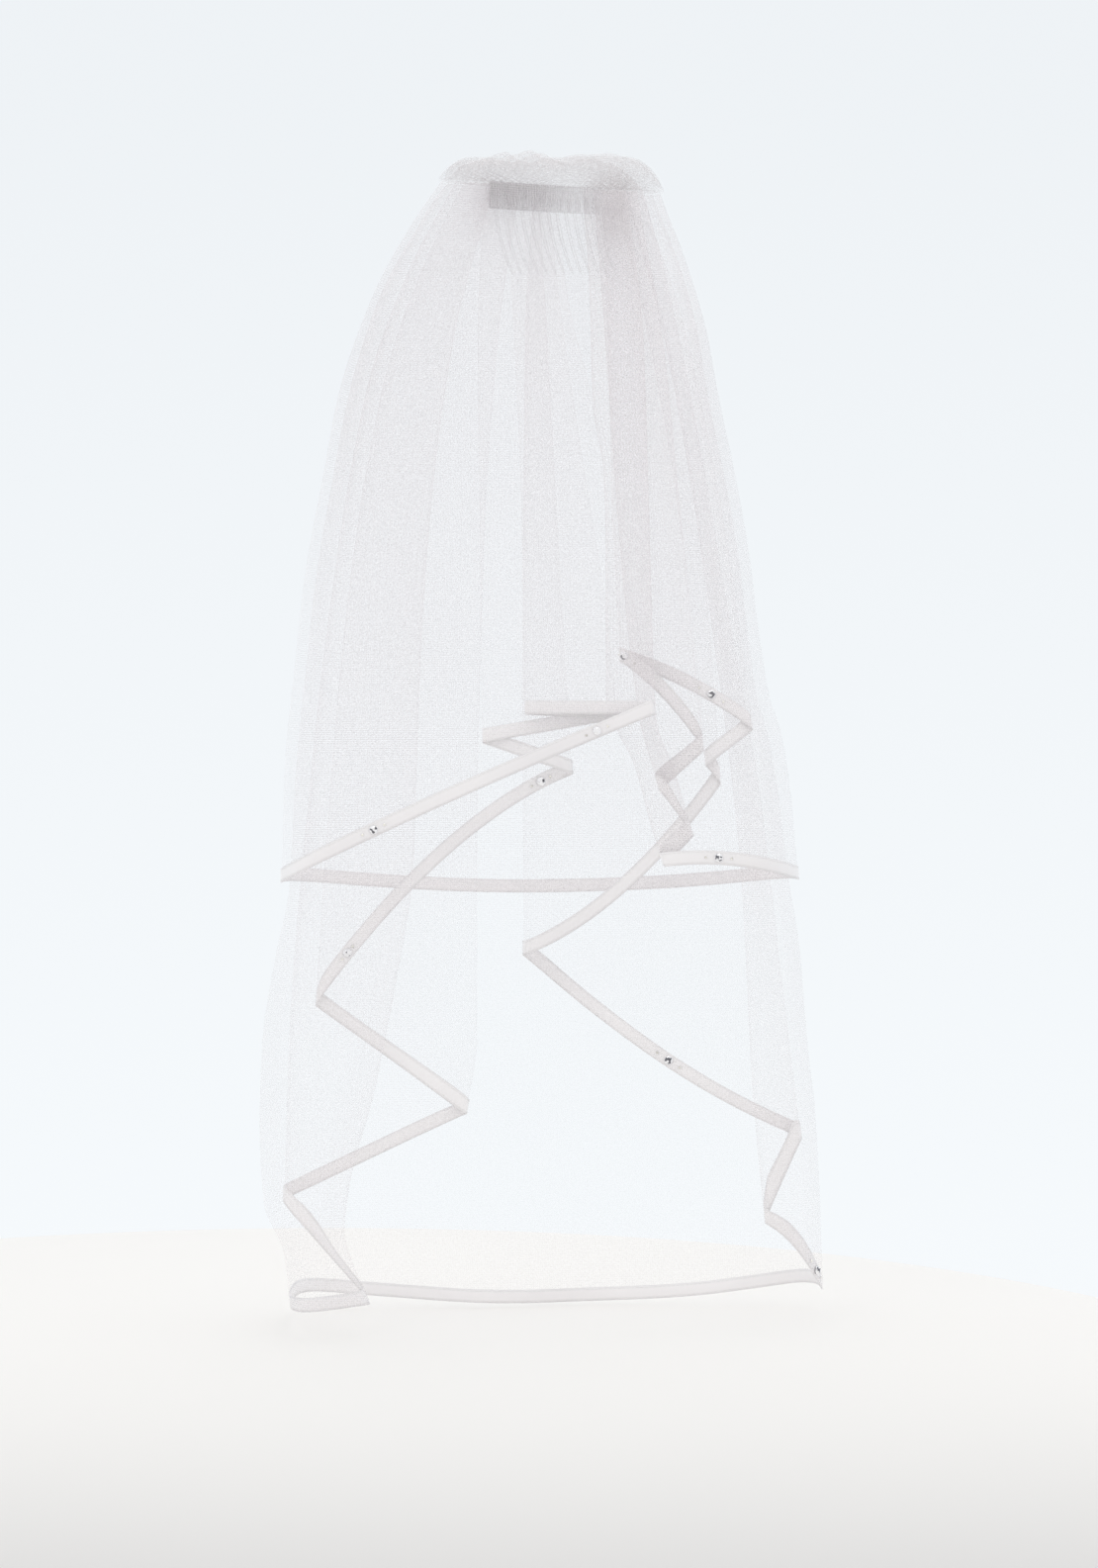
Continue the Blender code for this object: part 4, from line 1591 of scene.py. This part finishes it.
@dataclass(frozen=True)
class StitchRow:
    """Straight stitches laid along guide lines."""

    length: float = 0.0022
    pitch: float = 0.0034
    radius: float = 0.00013
    sides: int = 5

    def tree(self) -> bpy.types.NodeTree:
        """The tree that lays a stitch at each step along the guide's edges.

        Returns:
            The tree.
        """
        tree = bpy.data.node_groups.new("stitch_row", "GeometryNodeTree")
        for name, kind in (
            ("Geometry", "Geometry"), ("Length", "Float"), ("Pitch", "Float"), ("Radius", "Float"),
            ("Thread", "Material"),
        ):
            tree.interface.new_socket(name, in_out="INPUT", socket_type=f"NodeSocket{kind}")
        tree.interface.new_socket("Geometry", in_out="OUTPUT", socket_type="NodeSocketGeometry")
        given = tree.nodes.new("NodeGroupInput")
        result = tree.nodes.new("NodeGroupOutput")
        curve = tree.nodes.new("GeometryNodeMeshToCurve")
        spaced = tree.nodes.new("GeometryNodeResampleCurve")
        spaced.mode = "LENGTH"
        stitch = tree.nodes.new("GeometryNodeMeshCylinder")
        stitch.inputs["Vertices"].default_value = self.sides
        heading = tree.nodes.new("GeometryNodeInputTangent")
        turn = tree.nodes.new("FunctionNodeAlignRotationToVector")
        turn.axis = "Z"
        lay = tree.nodes.new("GeometryNodeInstanceOnPoints")
        solid = tree.nodes.new("GeometryNodeRealizeInstances")
        dress = tree.nodes.new("GeometryNodeSetMaterial")
        for output, target in (
            (given.outputs["Geometry"], curve.inputs["Mesh"]),
            (curve.outputs["Curve"], spaced.inputs["Curve"]),
            (given.outputs["Pitch"], spaced.inputs["Length"]),
            (spaced.outputs["Curve"], lay.inputs["Points"]),
            (given.outputs["Length"], stitch.inputs["Depth"]),
            (given.outputs["Radius"], stitch.inputs["Radius"]),
            (stitch.outputs["Mesh"], lay.inputs["Instance"]),
            (heading.outputs["Tangent"], turn.inputs["Vector"]),
            (turn.outputs["Rotation"], lay.inputs["Rotation"]),
            (lay.outputs["Instances"], solid.inputs["Geometry"]),
            (solid.outputs["Geometry"], dress.inputs["Geometry"]),
            (given.outputs["Thread"], dress.inputs["Material"]),
            (dress.outputs["Geometry"], result.inputs["Geometry"]),
        ):
            tree.links.new(output, target)
        return tree

    def sew(self, guide: bpy.types.Object) -> bpy.types.Object:
        """Turns a guide of edges into a plain mesh of stitches.

        Args:
            guide: the object whose edges are the lines of stitching.

        Returns:
            The piece, with the guide's name.
        """
        tree = bpy.data.node_groups.get("stitch_row") or self.tree()
        modifier = guide.modifiers.new("stitches", "NODES")
        modifier.node_group = tree
        thread = Finish.THREAD.material()
        sizes = {"Length": self.length, "Pitch": self.pitch, "Radius": self.radius, "Thread": thread}
        for item in tree.interface.items_tree:
            if item.in_out == "INPUT" and item.name in sizes:
                modifier[item.identifier] = sizes[item.name]
        bpy.context.view_layer.update()
        mesh = bpy.data.meshes.new_from_object(guide.evaluated_get(bpy.context.evaluated_depsgraph_get()))
        name = guide.name
        bpy.data.objects.remove(guide)
        mesh.name = name
        if not mesh.materials:
            mesh.materials.append(thread)
        return add_object(name, mesh)


@dataclass(frozen=True)
class StoneGroup:
    """A round cut stone with a small one on each side, along the ribbon. Millimetres.

    rings holds the cut as (width, height) for each ring of corners; it, the rim and the wire are shares of a
    stone's radius.
    """

    radius: float = 2.7
    small_radius: float = 1.0
    apart: float = 8.4
    sides: int = 10
    rings: tuple[tuple[float, float], ...] = ((0.55, 0.32), (1.0, 0.30), (1.0, 0.46), (0.62, 0.92))
    rim: float = 1.02
    rim_height: float = 0.24
    rim_steps: int = 16
    wire: float = 0.17
    wire_sides: int = 6

    def place(self, owner: NetTier, column: int, kept: tuple[Soup, Soup, Soup]) -> None:
        """Adds a group of stones.

        Args:
            owner: the tier whose ribbon carries it.
            column: the section at its middle.
            kept: what takes the large stones, the small stones and the settings.
        """
        along = owner.tier.along
        stones, small_stones, settings = kept
        for offset, radius, cut in (
            (-self.apart, self.small_radius, small_stones), (0.0, self.radius, stones),
            (self.apart, self.small_radius, small_stones),
        ):
            near = int(np.argmin(np.abs(along - along[column] - offset)))
            near = min(max(near, 1), len(along) - 2)
            point, out = owner.ribbon_point(near, 0.5, 0.0, owner.stone_face)
            nearby = owner.ribbon_point(near + 1, 0.5, 0.0, owner.stone_face)[0]
            right = (nearby - point).normalized()
            right = (right - out * right.dot(out)).normalized()
            turn = Matrix((right, out.cross(right), out)).transposed()
            self.stone(point, turn, radius * MM, cut, settings)

    def stone(self, point: Vector, turn: Matrix, radius: float, cut: Soup, held: Soup) -> None:
        """One stone.

        Args:
            point: where its base sits.
            turn: its axes, the last one out of the ribbon.
            radius: its radius in metres.
            cut: takes the stone.
            held: takes its setting.
        """
        points = []
        for ring, (width, height) in enumerate(self.rings):
            for corner in range(self.sides):
                angle = math.tau * (corner + 0.5 * (ring % 2)) / self.sides
                place = Vector((math.cos(angle) * width, math.sin(angle) * width, height)) * radius
                points.append(point + turn @ place)
        count = len(self.rings)
        cut.add(points, ring_faces(count, self.sides) + cap_faces(count, self.sides))
        loop = []
        for step in range(self.rim_steps):
            angle = math.tau * step / self.rim_steps
            place = Vector((math.cos(angle) * self.rim, math.sin(angle) * self.rim, self.rim_height)) * radius
            loop.append(point + turn @ place)
        held.tube(loop, [self.wire * radius] * self.rim_steps, self.wire_sides, closed=True)


@dataclass
class HairComb:
    """The clear comb: an arched bar with curved teeth, and the thread that binds it. Millimetres."""

    half: float = 40.5
    thickness: float = 2.6
    top: float = 1.0
    bottom: float = 10.5
    rounding: float = 0.9
    bar_steps: int = 48
    corner_steps: int = 4
    end_thickness: float = 0.6
    end_height: float = 0.92
    teeth: int = 13
    radius: float = 1.15
    tooth_steps: int = 14
    tooth_sides: int = 10
    tip_drop: float = 60.0
    tip_slant: float = 2.4
    tip_share: float = 0.07
    tip_least: float = 0.02
    forward: float = 20.0
    spread: float = 0.03
    lean: float = 4.5
    taper: float = 0.35
    root: float = 3.0
    sharp_angle: float = 40.0
    turns: int = 2
    first_turn: float = 0.35
    turn_pitch: float = 0.3
    turn_lean: float = 0.5
    turn_steps: int = 14
    turn_squareness: float = 0.6
    thread_radius: float = 0.13
    thread_sides: int = 5
    thread_clearance: float = 0.25
    thread_behind: float = 1.3
    thread_seed: int = 41

    def frame(self, across: float) -> tuple[float, float, float]:
        """The comb's line at a place across.

        Args:
            across: the place along X.

        Returns:
            Y of the line, and X and Y of the unit vector out of the bar's front face.
        """
        slope = float(DRAPE.comb_line(across + 0.5) - DRAPE.comb_line(across - 0.5))
        length = math.hypot(slope, 1.0)
        return float(DRAPE.comb_line(across)), slope / length, -1.0 / length

    def bar(self) -> bpy.types.Object:
        """The bar, a rounded section swept along the comb's line.

        Returns:
            The bar.
        """
        middle_drop, half_drop = (self.top + self.bottom) / 2, (self.bottom - self.top) / 2
        section = []
        for quarter, (out_side, down_side) in enumerate(((1, 1), (-1, 1), (-1, -1), (1, -1))):
            for step in range(self.corner_steps + 1):
                angle = math.pi / 2 * (quarter + step / self.corner_steps)
                out = out_side * (self.thickness / 2 - self.rounding) + self.rounding * math.cos(angle)
                down = down_side * (half_drop - self.rounding) + self.rounding * math.sin(angle)
                section.append((out, down))
        points = []
        for step in range(self.bar_steps + 1):
            across = self.half * (2 * step / self.bar_steps - 1)
            line, side, front = self.frame(across)
            at_end = step in (0, self.bar_steps)
            thin, low = (self.end_thickness, self.end_height) if at_end else (1.0, 1.0)
            for out, down in section:
                reach = self.thickness / 2 + out * thin
                place = (across + side * reach, line + front * reach, -(middle_drop + down * low))
                points.append(Vector(place) * MM)
        rings, sides = self.bar_steps + 1, len(section)
        faces = ring_faces(rings, sides) + cap_faces(rings, sides)
        return new_piece("clear_comb", points, faces, Finish.CLEAR.material())

    def tooth_line(self, tooth: int) -> tuple[list[Vector], list[float]]:
        """The run of a tooth, from inside the bar to its tip.

        Args:
            tooth: its number, from the left.

        Returns:
            Its middle line and its radii, in metres.
        """
        inset = 2 * self.radius
        across = (self.half - inset) * (2 * tooth / (self.teeth - 1) - 1)
        line, side, front = self.frame(across)
        start = self.bottom - self.root
        tip = self.tip_drop - self.tip_slant * across / self.half
        points, radii = [], []
        for step in range(self.tooth_steps + 1):
            share = step / self.tooth_steps
            out = self.thickness / 2 + self.forward * share ** 2
            points.append(Vector((
                across * (1 + self.spread * share) + self.lean * share + side * out,
                line + front * out,
                -(start + (tip - start) * share),
            )) * MM)
            near_tip = max(0.0, (share - (1 - self.tip_share)) / self.tip_share)
            rounding = math.sqrt(max(self.tip_least, 1 - near_tip ** 2))
            radii.append(self.radius * (1 - self.taper * share ** 3) * rounding * MM)
        return points, radii

    def build(self) -> list[bpy.types.Object]:
        """The comb in place of its CAD solid, and the thread that binds it.

        Returns:
            Both.
        """
        bar = self.bar()
        soup = Soup()
        for tooth in range(self.teeth):
            points, radii = self.tooth_line(tooth)
            soup.tube(points, radii, self.tooth_sides)
        teeth = soup.piece("comb_teeth", Finish.CLEAR.material())
        for piece in (bar, teeth):
            face_out(piece.data)
        joined = bar.modifiers.new("teeth", "BOOLEAN")
        joined.operation = "UNION"
        joined.solver = "EXACT"
        joined.object = teeth
        bpy.context.view_layer.update()
        mesh = bpy.data.meshes.new_from_object(bar.evaluated_get(bpy.context.evaluated_depsgraph_get()))
        bar.modifiers.remove(joined)
        bar.data = mesh
        bpy.data.objects.remove(teeth)
        mesh.shade_smooth()
        mesh.set_sharp_from_angle(angle=math.radians(self.sharp_angle))
        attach(bar, BODY)
        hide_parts("comb")
        return [bar, self.binding()]

    def binding(self) -> bpy.types.Object:
        """Thread wound over the bar and through the net, twice in each gap between teeth.

        Returns:
            The thread.
        """
        soup = Soup()
        rng = random.Random(self.thread_seed)
        clearance, behind = self.thread_clearance, self.thread_behind
        half_depth, half_height = (self.thickness + behind) / 2, (self.bottom - self.top) / 2
        gap = 2 * (self.half - 2 * self.radius) / (self.teeth - 1)
        for tooth in range(self.teeth - 1):
            for turn in range(self.turns):
                place = tooth + self.first_turn + self.turn_pitch * turn
                across = -self.half + 2 * self.radius + gap * place
                line, side, front = self.frame(across)
                lean = rng.uniform(-self.turn_lean, self.turn_lean)
                loop = []
                for step in range(self.turn_steps):
                    angle = math.tau * step / self.turn_steps
                    deep = math.copysign(abs(math.cos(angle)) ** self.turn_squareness, math.cos(angle))
                    tall = math.copysign(abs(math.sin(angle)) ** self.turn_squareness, math.sin(angle))
                    reach = (self.thickness - behind) / 2 + deep * (half_depth + clearance)
                    down = (self.top + self.bottom) / 2 + tall * (half_height + clearance)
                    x = across + lean * tall + side * reach
                    loop.append(Vector((x, line + front * reach, -down)) * MM)
                radii = [self.thread_radius * MM] * self.turn_steps
                soup.tube(loop, radii, self.thread_sides, closed=True)
        piece = soup.piece("comb_binding_thread", Finish.BINDING.material())
        face_out(piece.data)
        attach(piece, BODY)
        return piece


@dataclass
class GatheredTop:
    """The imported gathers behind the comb's bar and the puffed head where the net folds over. Millimetres.

    shells holds (inset, seed, lean) for each loose loop of the head: how far inside the outer one it lies,
    what fixes its pleats, and how much its streaks lean.
    """

    band_half: float = 40.5
    band_top: float = -8.0
    band_bottom: float = 11.5
    band_wall: float = 2.2
    band_gap: float = 0.3
    band_rows: int = 9
    band_seed: int = 7
    band_cloth: float = 12.0
    band_fading: tuple[float, float] = (1.15, 0.3)
    band_fullness: float = 0.75
    band_side: float = 0.55
    band_stripes: float = 0.25
    flutes: int = 46
    flute_steps: int = 8
    flute_height: float = 0.34
    long_drift: tuple[float, float] = (0.22, 5.3)
    short_drift: tuple[float, float] = (0.15, 2.1)
    flute_lean: float = 0.06
    lean_drop: float = 6.0
    lean_width: float = 11.0
    head_left: float = -78.5
    head_right: float = 86.5
    head_foot: float = 8.3
    head_back: float = 3.4
    head_near: float = 0.9
    head_wall: float = 0.24
    head_levels: int = 14
    head_pitch: float = 2.2
    head_count: int = 300
    crown_height: float = 0.97
    crown_power: float = 2.6
    crown_narrowing: float = 0.26
    crown_pleat: float = 0.3
    bulge: float = 2.0
    end_roundness: float = 0.75
    side_roundness: float = 0.62
    puffs: int = 34
    pleat_weights: tuple[float, float, float] = (0.7, 0.7, 0.35)
    pleat_bend: float = 0.5
    pleat_turn: float = 5.0
    pleat_growth: float = 2.4
    ridge_shift: float = 4.0
    ridge_wave: tuple[float, float] = (0.35, 4.1)
    ridge_fall: float = 0.6
    shells: tuple[tuple[float, int, float], ...] = ((0.0, 3, 2.4), (2.2, 5, -3.2), (4.6, 8, 1.6))
    loose_fullness: float = 1.25
    loosening: float = 1.5
    foot_share: float = 0.55
    foot_ends: tuple[float, float] = (-90.0, 96.0)
    foot_steps: int = 32
    foot_blend: tuple[float, float, float] = (0.25, 0.5, 0.25)
    ridge: Course = Course((
        (-80, 13), (-71, 21), (-58, 26), (-46, 27.5), (-34, 27), (-24, 31), (-12, 35), (-2, 30), (6, 29),
        (16, 32.5), (30, 34.5), (46, 35.5), (60, 33), (74, 27), (83, 19), (88, 12),
    ))

    def band(self) -> bpy.types.Object:
        """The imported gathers, in place of their CAD solid.

        Returns:
            The band.
        """
        half_width = self.band_half
        across = np.linspace(-half_width, half_width, self.flutes * self.flute_steps + 1)
        line = DRAPE.comb_line(across)
        slope = np.gradient(line, across)
        length = np.hypot(slope, 1.0)
        side, front = slope / length, -1.0 / length
        shift = random.Random(self.band_seed).uniform(0, 6)
        phase = across / (2 * half_width) * self.flutes
        phase = phase + self.long_drift[0] * np.sin(across / self.long_drift[1])
        phase = phase + self.short_drift[0] * np.sin(across / self.short_drift[1] + shift)
        drops = np.linspace(self.band_top, self.band_bottom, self.band_rows)
        x = np.tile(across, (len(drops), 1))
        y = np.tile(line, (len(drops), 1))
        drop = np.tile(drops[:, None], (1, len(across)))
        lean = self.flute_lean * np.sin(drop / self.lean_drop + across / self.lean_width)
        ripple = self.flute_height * np.cos(math.tau * (phase + lean))
        middle = -self.band_gap - self.flute_height - self.band_wall / 2
        x = x + side * (middle + ripple)
        y = y + front * (middle + ripple)
        normals = (np.tile(side, (len(drops), 1)), np.tile(front, (len(drops), 1)))
        half = self.band_wall / 2
        fading = np.linspace(*self.band_fading, len(drops))[:, None]
        stripes = self.band_stripes * np.cos(math.tau * phase)
        full = fading * (self.band_fullness - self.band_side * across / half_width + stripes)
        cloth = (across * self.band_cloth, full)
        # the band's darker net colour is painted shade within the gathers behind the bar; it is denser at the
        # left, where more of it shows
        piece = shell(
            "gathered_band_net", x, y, drop, normals, (half, -half), cloth, Finish.PACKED_NET_PAINTED_SHADE.material())
        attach(piece, BODY)
        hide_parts("gathered_band")
        return piece

    def foot_fullness(self, x: np.ndarray, tiers: tuple[Tier, ...]) -> np.ndarray:
        """How full each wall of the head is at its foot, so that it carries on from the tiers.

        Args:
            x: places across the head.
            tiers: the tiers that hang from it.

        Returns:
            Fullness at those places.
        """
        edges = np.linspace(*self.foot_ends, self.foot_steps)
        total = np.zeros(len(edges) - 1)
        for tier in tiers:
            steps = np.abs(np.gradient(tier.x[0]))
            total += np.histogram(tier.x[0], edges, weights=tier.fullness[0] * steps)[0]
        total = np.convolve(total / np.diff(edges), self.foot_blend, "same")
        walls = 2 * len(self.shells)
        return np.interp(x, (edges[1:] + edges[:-1]) / 2, total) / walls

    def ring(self, rise: float, inset: float, seed: int) -> tuple[np.ndarray, np.ndarray, np.ndarray]:
        """One level ring of a puffed shell.

        Args:
            rise: 0 at the foot and 1 at the ridge.
            inset: how far inside the outer shell it lies.
            seed: fixes its pleats.

        Returns:
            X, Y and height of its points in millimetres, with the first point again at the end.
        """
        rng = random.Random(seed)
        angle = np.linspace(0, math.tau, self.head_count + 1)
        cosine, sine = np.cos(angle), np.sin(angle)
        shrink = math.sqrt(max(0.0, 1 - (self.crown_height * rise) ** self.crown_power))
        low, high = self.head_left + inset, self.head_right - inset
        half_width = (high - low) / 2 * (1 - self.crown_narrowing * (1 - shrink))
        back = DRAPE.front + DRAPE.pitch * LAYERS["upper_back"].order + self.head_back - inset
        near = DRAPE.front - self.head_near + inset
        pleat = np.zeros_like(angle)
        for waves, weight in zip((self.puffs, self.puffs // 2 + 2, self.puffs * 2 - 5), self.pleat_weights):
            bend = self.pleat_bend * math.sin(self.pleat_turn * rise + rng.uniform(0, 6))
            pleat += weight * np.cos(waves * angle + bend + rng.uniform(0, 6))
        lift = min(1.0, self.pleat_growth * rise)
        half_depth = ((back - near) / 2 + self.bulge * math.sin(math.pi * rise)) * shrink
        half_depth = half_depth + pleat * lift * (self.crown_pleat + (1 - self.crown_pleat) * shrink)
        x = (low + high) / 2 + half_width * np.sign(cosine) * np.abs(cosine) ** self.end_roundness
        y = (near + back) / 2 + half_depth * np.sign(sine) * np.abs(sine) ** self.side_roundness
        ridge = self.ridge.at(x + self.ridge_shift * inset * (-1) ** seed)
        wave, wave_length = self.ridge_wave
        crest = ridge + wave * np.sin(x / wave_length + seed) - self.ridge_fall * inset
        height = self.head_foot + (crest - self.head_foot) * rise
        return x, y + DRAPE.comb_line(x), height

    def crown_faces(self) -> list[tuple[int, ...]]:
        """Faces that close a ring across, from its front to its back.

        Returns:
            The faces as vertex numbers of the ring.
        """
        count = self.head_count
        faces = []
        for corner in range(1, count // 2):
            face = (corner, corner + 1, (count - corner - 1) % count, count - corner)
            faces.append(tuple(dict.fromkeys(face)))
        return faces + [(0, 1, count - 1)]

    def head(self, tiers: tuple[Tier, ...]) -> bpy.types.Object:
        """The puffed head, of three loose loops of net one inside another, in place of its CAD solid.

        Args:
            tiers: the tiers that hang from it.

        Returns:
            The head.
        """
        count, levels = self.head_count, self.head_levels
        size = (levels + 1) * count
        crown = [tuple(corner + levels * count for corner in face) for face in self.crown_faces()]
        closed_skin = ring_faces(levels + 1, count) + crown
        points, faces, place, fullness = [], [], [], []
        for inset, seed, lean in self.shells:
            rings = [self.ring(level / levels, inset, seed) for level in range(levels + 1)]
            start = len(points)
            for skin in (0.0, self.head_wall):
                for level, (x, y, height) in enumerate(rings):
                    rise = level / levels
                    run, slope = np.gradient(x), np.gradient(y)
                    length = np.maximum(np.hypot(run, slope), 1e-6)
                    moved = (x - slope / length * skin, y + run / length * skin, height - skin * rise)
                    points += [tuple(point * MM) for point in np.stack(moved, axis=-1)[:-1]]
                    along = np.concatenate(([0.0], np.cumsum(length[:-1])))
                    place += [(float(step) + level * lean, level * self.head_pitch) for step in along[:-1]]
                    packed = (1 - rise) ** self.loosening
                    foot = self.foot_share * packed * self.foot_fullness(x[:-1], tiers)
                    fullness += list(self.loose_fullness * (1 - packed) + foot)
            faces += [tuple(start + corner for corner in face) for face in closed_skin]
            faces += [tuple(start + size + corner for corner in face[::-1]) for face in closed_skin]
            for corner in range(count):
                low, after = start + corner, start + (corner + 1) % count
                faces.append((after, low, low + size, after + size))
        # the head's darker net colour is painted shade in its dense gathers
        piece = new_piece("gathered_head_net", points, faces, Finish.DENSE_NET_PAINTED_SHADE.material())
        lay_cloth(piece.data, np.array(place), np.array(fullness))
        face_out(piece.data)
        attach(piece, BODY)
        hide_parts("gathered_head")
        return piece


# The studio


@dataclass(frozen=True)
class Lamp:
    """A large soft square lamp. Metres and watts."""

    name: str
    place: tuple[float, float, float]
    aim: tuple[float, float, float]
    size: float
    watts: float
    colour: tuple[float, float, float] = (1.0, 0.965, 0.935)

    def hang(self) -> None:
        """Adds the lamp to the scene."""
        light = bpy.data.lights.new(self.name, "AREA")
        light.energy = self.watts
        light.color = self.colour
        light.size = self.size
        lamp = add_object(self.name, light)
        lamp.location = self.place
        lamp.rotation_mode = "QUATERNION"
        lamp.rotation_quaternion = (Vector(self.aim) - Vector(self.place)).to_track_quat("-Z", "Y")


@dataclass
class Studio:
    """Floor, light and camera. Metres.

    Headings are parts of the unit vector that looks from the veil into the air.
    """

    camera_place: tuple[float, float, float] = (0.0014, -3.0, -0.428)
    lens: float = 94.64
    sensor: float = 36.0
    floor_middle: tuple[float, float] = (-0.19, -0.42)
    floor_size: tuple[float, float] = (0.72, 1.05)
    floor_top: float = -0.819
    floor_wall: float = 0.03
    low_air: tuple[float, float, float] = (0.921, 0.953, 0.978)
    high_air: tuple[float, float, float] = (0.860, 0.893, 0.921)
    near_air: tuple[float, float, float] = (0.865, 0.862, 0.866)
    rise_headings: tuple[float, float] = (-0.12, 0.16)
    near_headings: tuple[float, float] = (0.25, -0.55)
    floor_sides: int = 160
    lamps: tuple[Lamp, ...] = (
        Lamp("key_lamp", (-1.4, -2.0, 1.3), (0, 0, -0.35), 1.6, 5.0),
        Lamp("top_lamp", (0.1, 0.35, 1.1), (0, 0.0, -0.8), 1.2, 6.0),
    )
    clear_bounces: int = 96
    bounces: int = 8
    matt_bounces: int = 3

    def build(self) -> None:
        """Makes the whole studio: lamps high at the left front and over the floor, and bright air."""
        self.floor()
        self.air()
        for lamp in self.lamps:
            lamp.hang()
        self.camera()
        scene = bpy.context.scene
        scene.view_settings.view_transform = "Standard"
        scene.cycles.transparent_max_bounces = self.clear_bounces
        scene.cycles.max_bounces = self.bounces
        scene.cycles.diffuse_bounces = self.matt_bounces

    def floor(self) -> None:
        """A plain pale floor with a rounded far end."""
        work = bmesh.new()
        bmesh.ops.create_cone(
            work, cap_ends=True, segments=self.floor_sides, radius1=1.0, radius2=1.0, depth=1.0)
        size = (*self.floor_size, self.floor_wall)
        place = (*self.floor_middle, self.floor_top - self.floor_wall / 2)
        for vertex in work.verts:
            vertex.co = Vector(a * b + c for a, b, c in zip(vertex.co, size, place))
        mesh = bpy.data.meshes.new("floor")
        work.to_mesh(mesh)
        work.free()
        mesh.materials.append(Finish.FLOOR.material())
        floor = add_object("floor", mesh)

    def air(self) -> None:
        """Bright light from the far side and above, dimmer from the side that the camera stands on."""
        world = bpy.data.worlds.new("bright_air")
        world.use_nodes = True
        bpy.context.scene.world = world
        graph = Graph(world.node_tree)
        heading = graph.add("ShaderNodeTexCoord", {}, {}, "Generated")
        rise = graph.share_between(graph.part(heading, "Z"), *self.rise_headings)
        near = graph.share_between(graph.part(heading, "Y"), *self.near_headings)
        sky = graph.mix_colour(rise, self.low_air, self.high_air)
        air = graph.mix_colour(near, sky, self.near_air)
        graph.put(world.node_tree.nodes["Background"].inputs["Color"], air)

    def camera(self) -> None:
        """A level camera in front of the veil, on the side that the comb's teeth face."""
        data = bpy.data.cameras.new("camera")
        data.lens = self.lens
        data.sensor_width = self.sensor
        data.dof.use_dof = False
        camera = add_object("camera", data)
        camera.location = self.camera_place
        camera.rotation_euler = (math.pi / 2, 0, 0)
        bpy.context.scene.camera = camera


UPPER_STONES = (
    ("left_front", -120.0), ("left_front", 35.0), ("right_front", 121.6), ("right_fifth", 56.0),
    ("upper_back", -95.0), ("upper_back", 30.0), ("upper_back", 140.0),
)
LOWER_STONES = (
    ("left_fall_top", -5.7), ("left_fall_top", -143.0), ("right_fall_long", 90.0), ("right_fall_top", 117.0),
    ("right_roll_front", 197.0), ("left_roll_back", -160.0),
)


def clear_scene() -> None:
    """Removes what the scene starts with."""
    for piece in list(bpy.data.objects):
        bpy.data.objects.remove(piece)


def main() -> None:
    """Builds the veil, dresses it and sets up the picture."""
    logging.basicConfig(level=logging.INFO, format="%(message)s")
    clear_scene()
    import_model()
    upper = NetTier(
        "upper_tier", UPPER_ROUTE, LOWER_ROUTE, low_rows=44, spacing=4.4, seed=11, ribbon_face=-1,
        stones=UPPER_STONES)
    lower = NetTier(
        "lower_tier", LOWER_ROUTE, UPPER_ROUTE, low_rows=84, spacing=4.8, seed=23, ribbon_face=1,
        stones=LOWER_STONES, other_nodes=("lower_tier_gathers",))
    top = GatheredTop()
    comb = HairComb().build()
    band, head = top.band(), top.head((upper.tier, lower.tier))
    LOG.info("comb, band and head made")
    for tier, flat, area, more in (
        (upper, (1.46, 0.51), 0.55, [head, band]),
        (lower, (1.5, 0.82), 1.02, []),
    ):
        net = tier.build_net()
        trims = [tier.build_ribbon(), tier.build_stitches(), *tier.build_stones()]
        trims + more
        LOG.info("%s: %d faces", net.name, len(net.data.polygons))
    Studio().build()


if __name__ == "__main__":
    main()
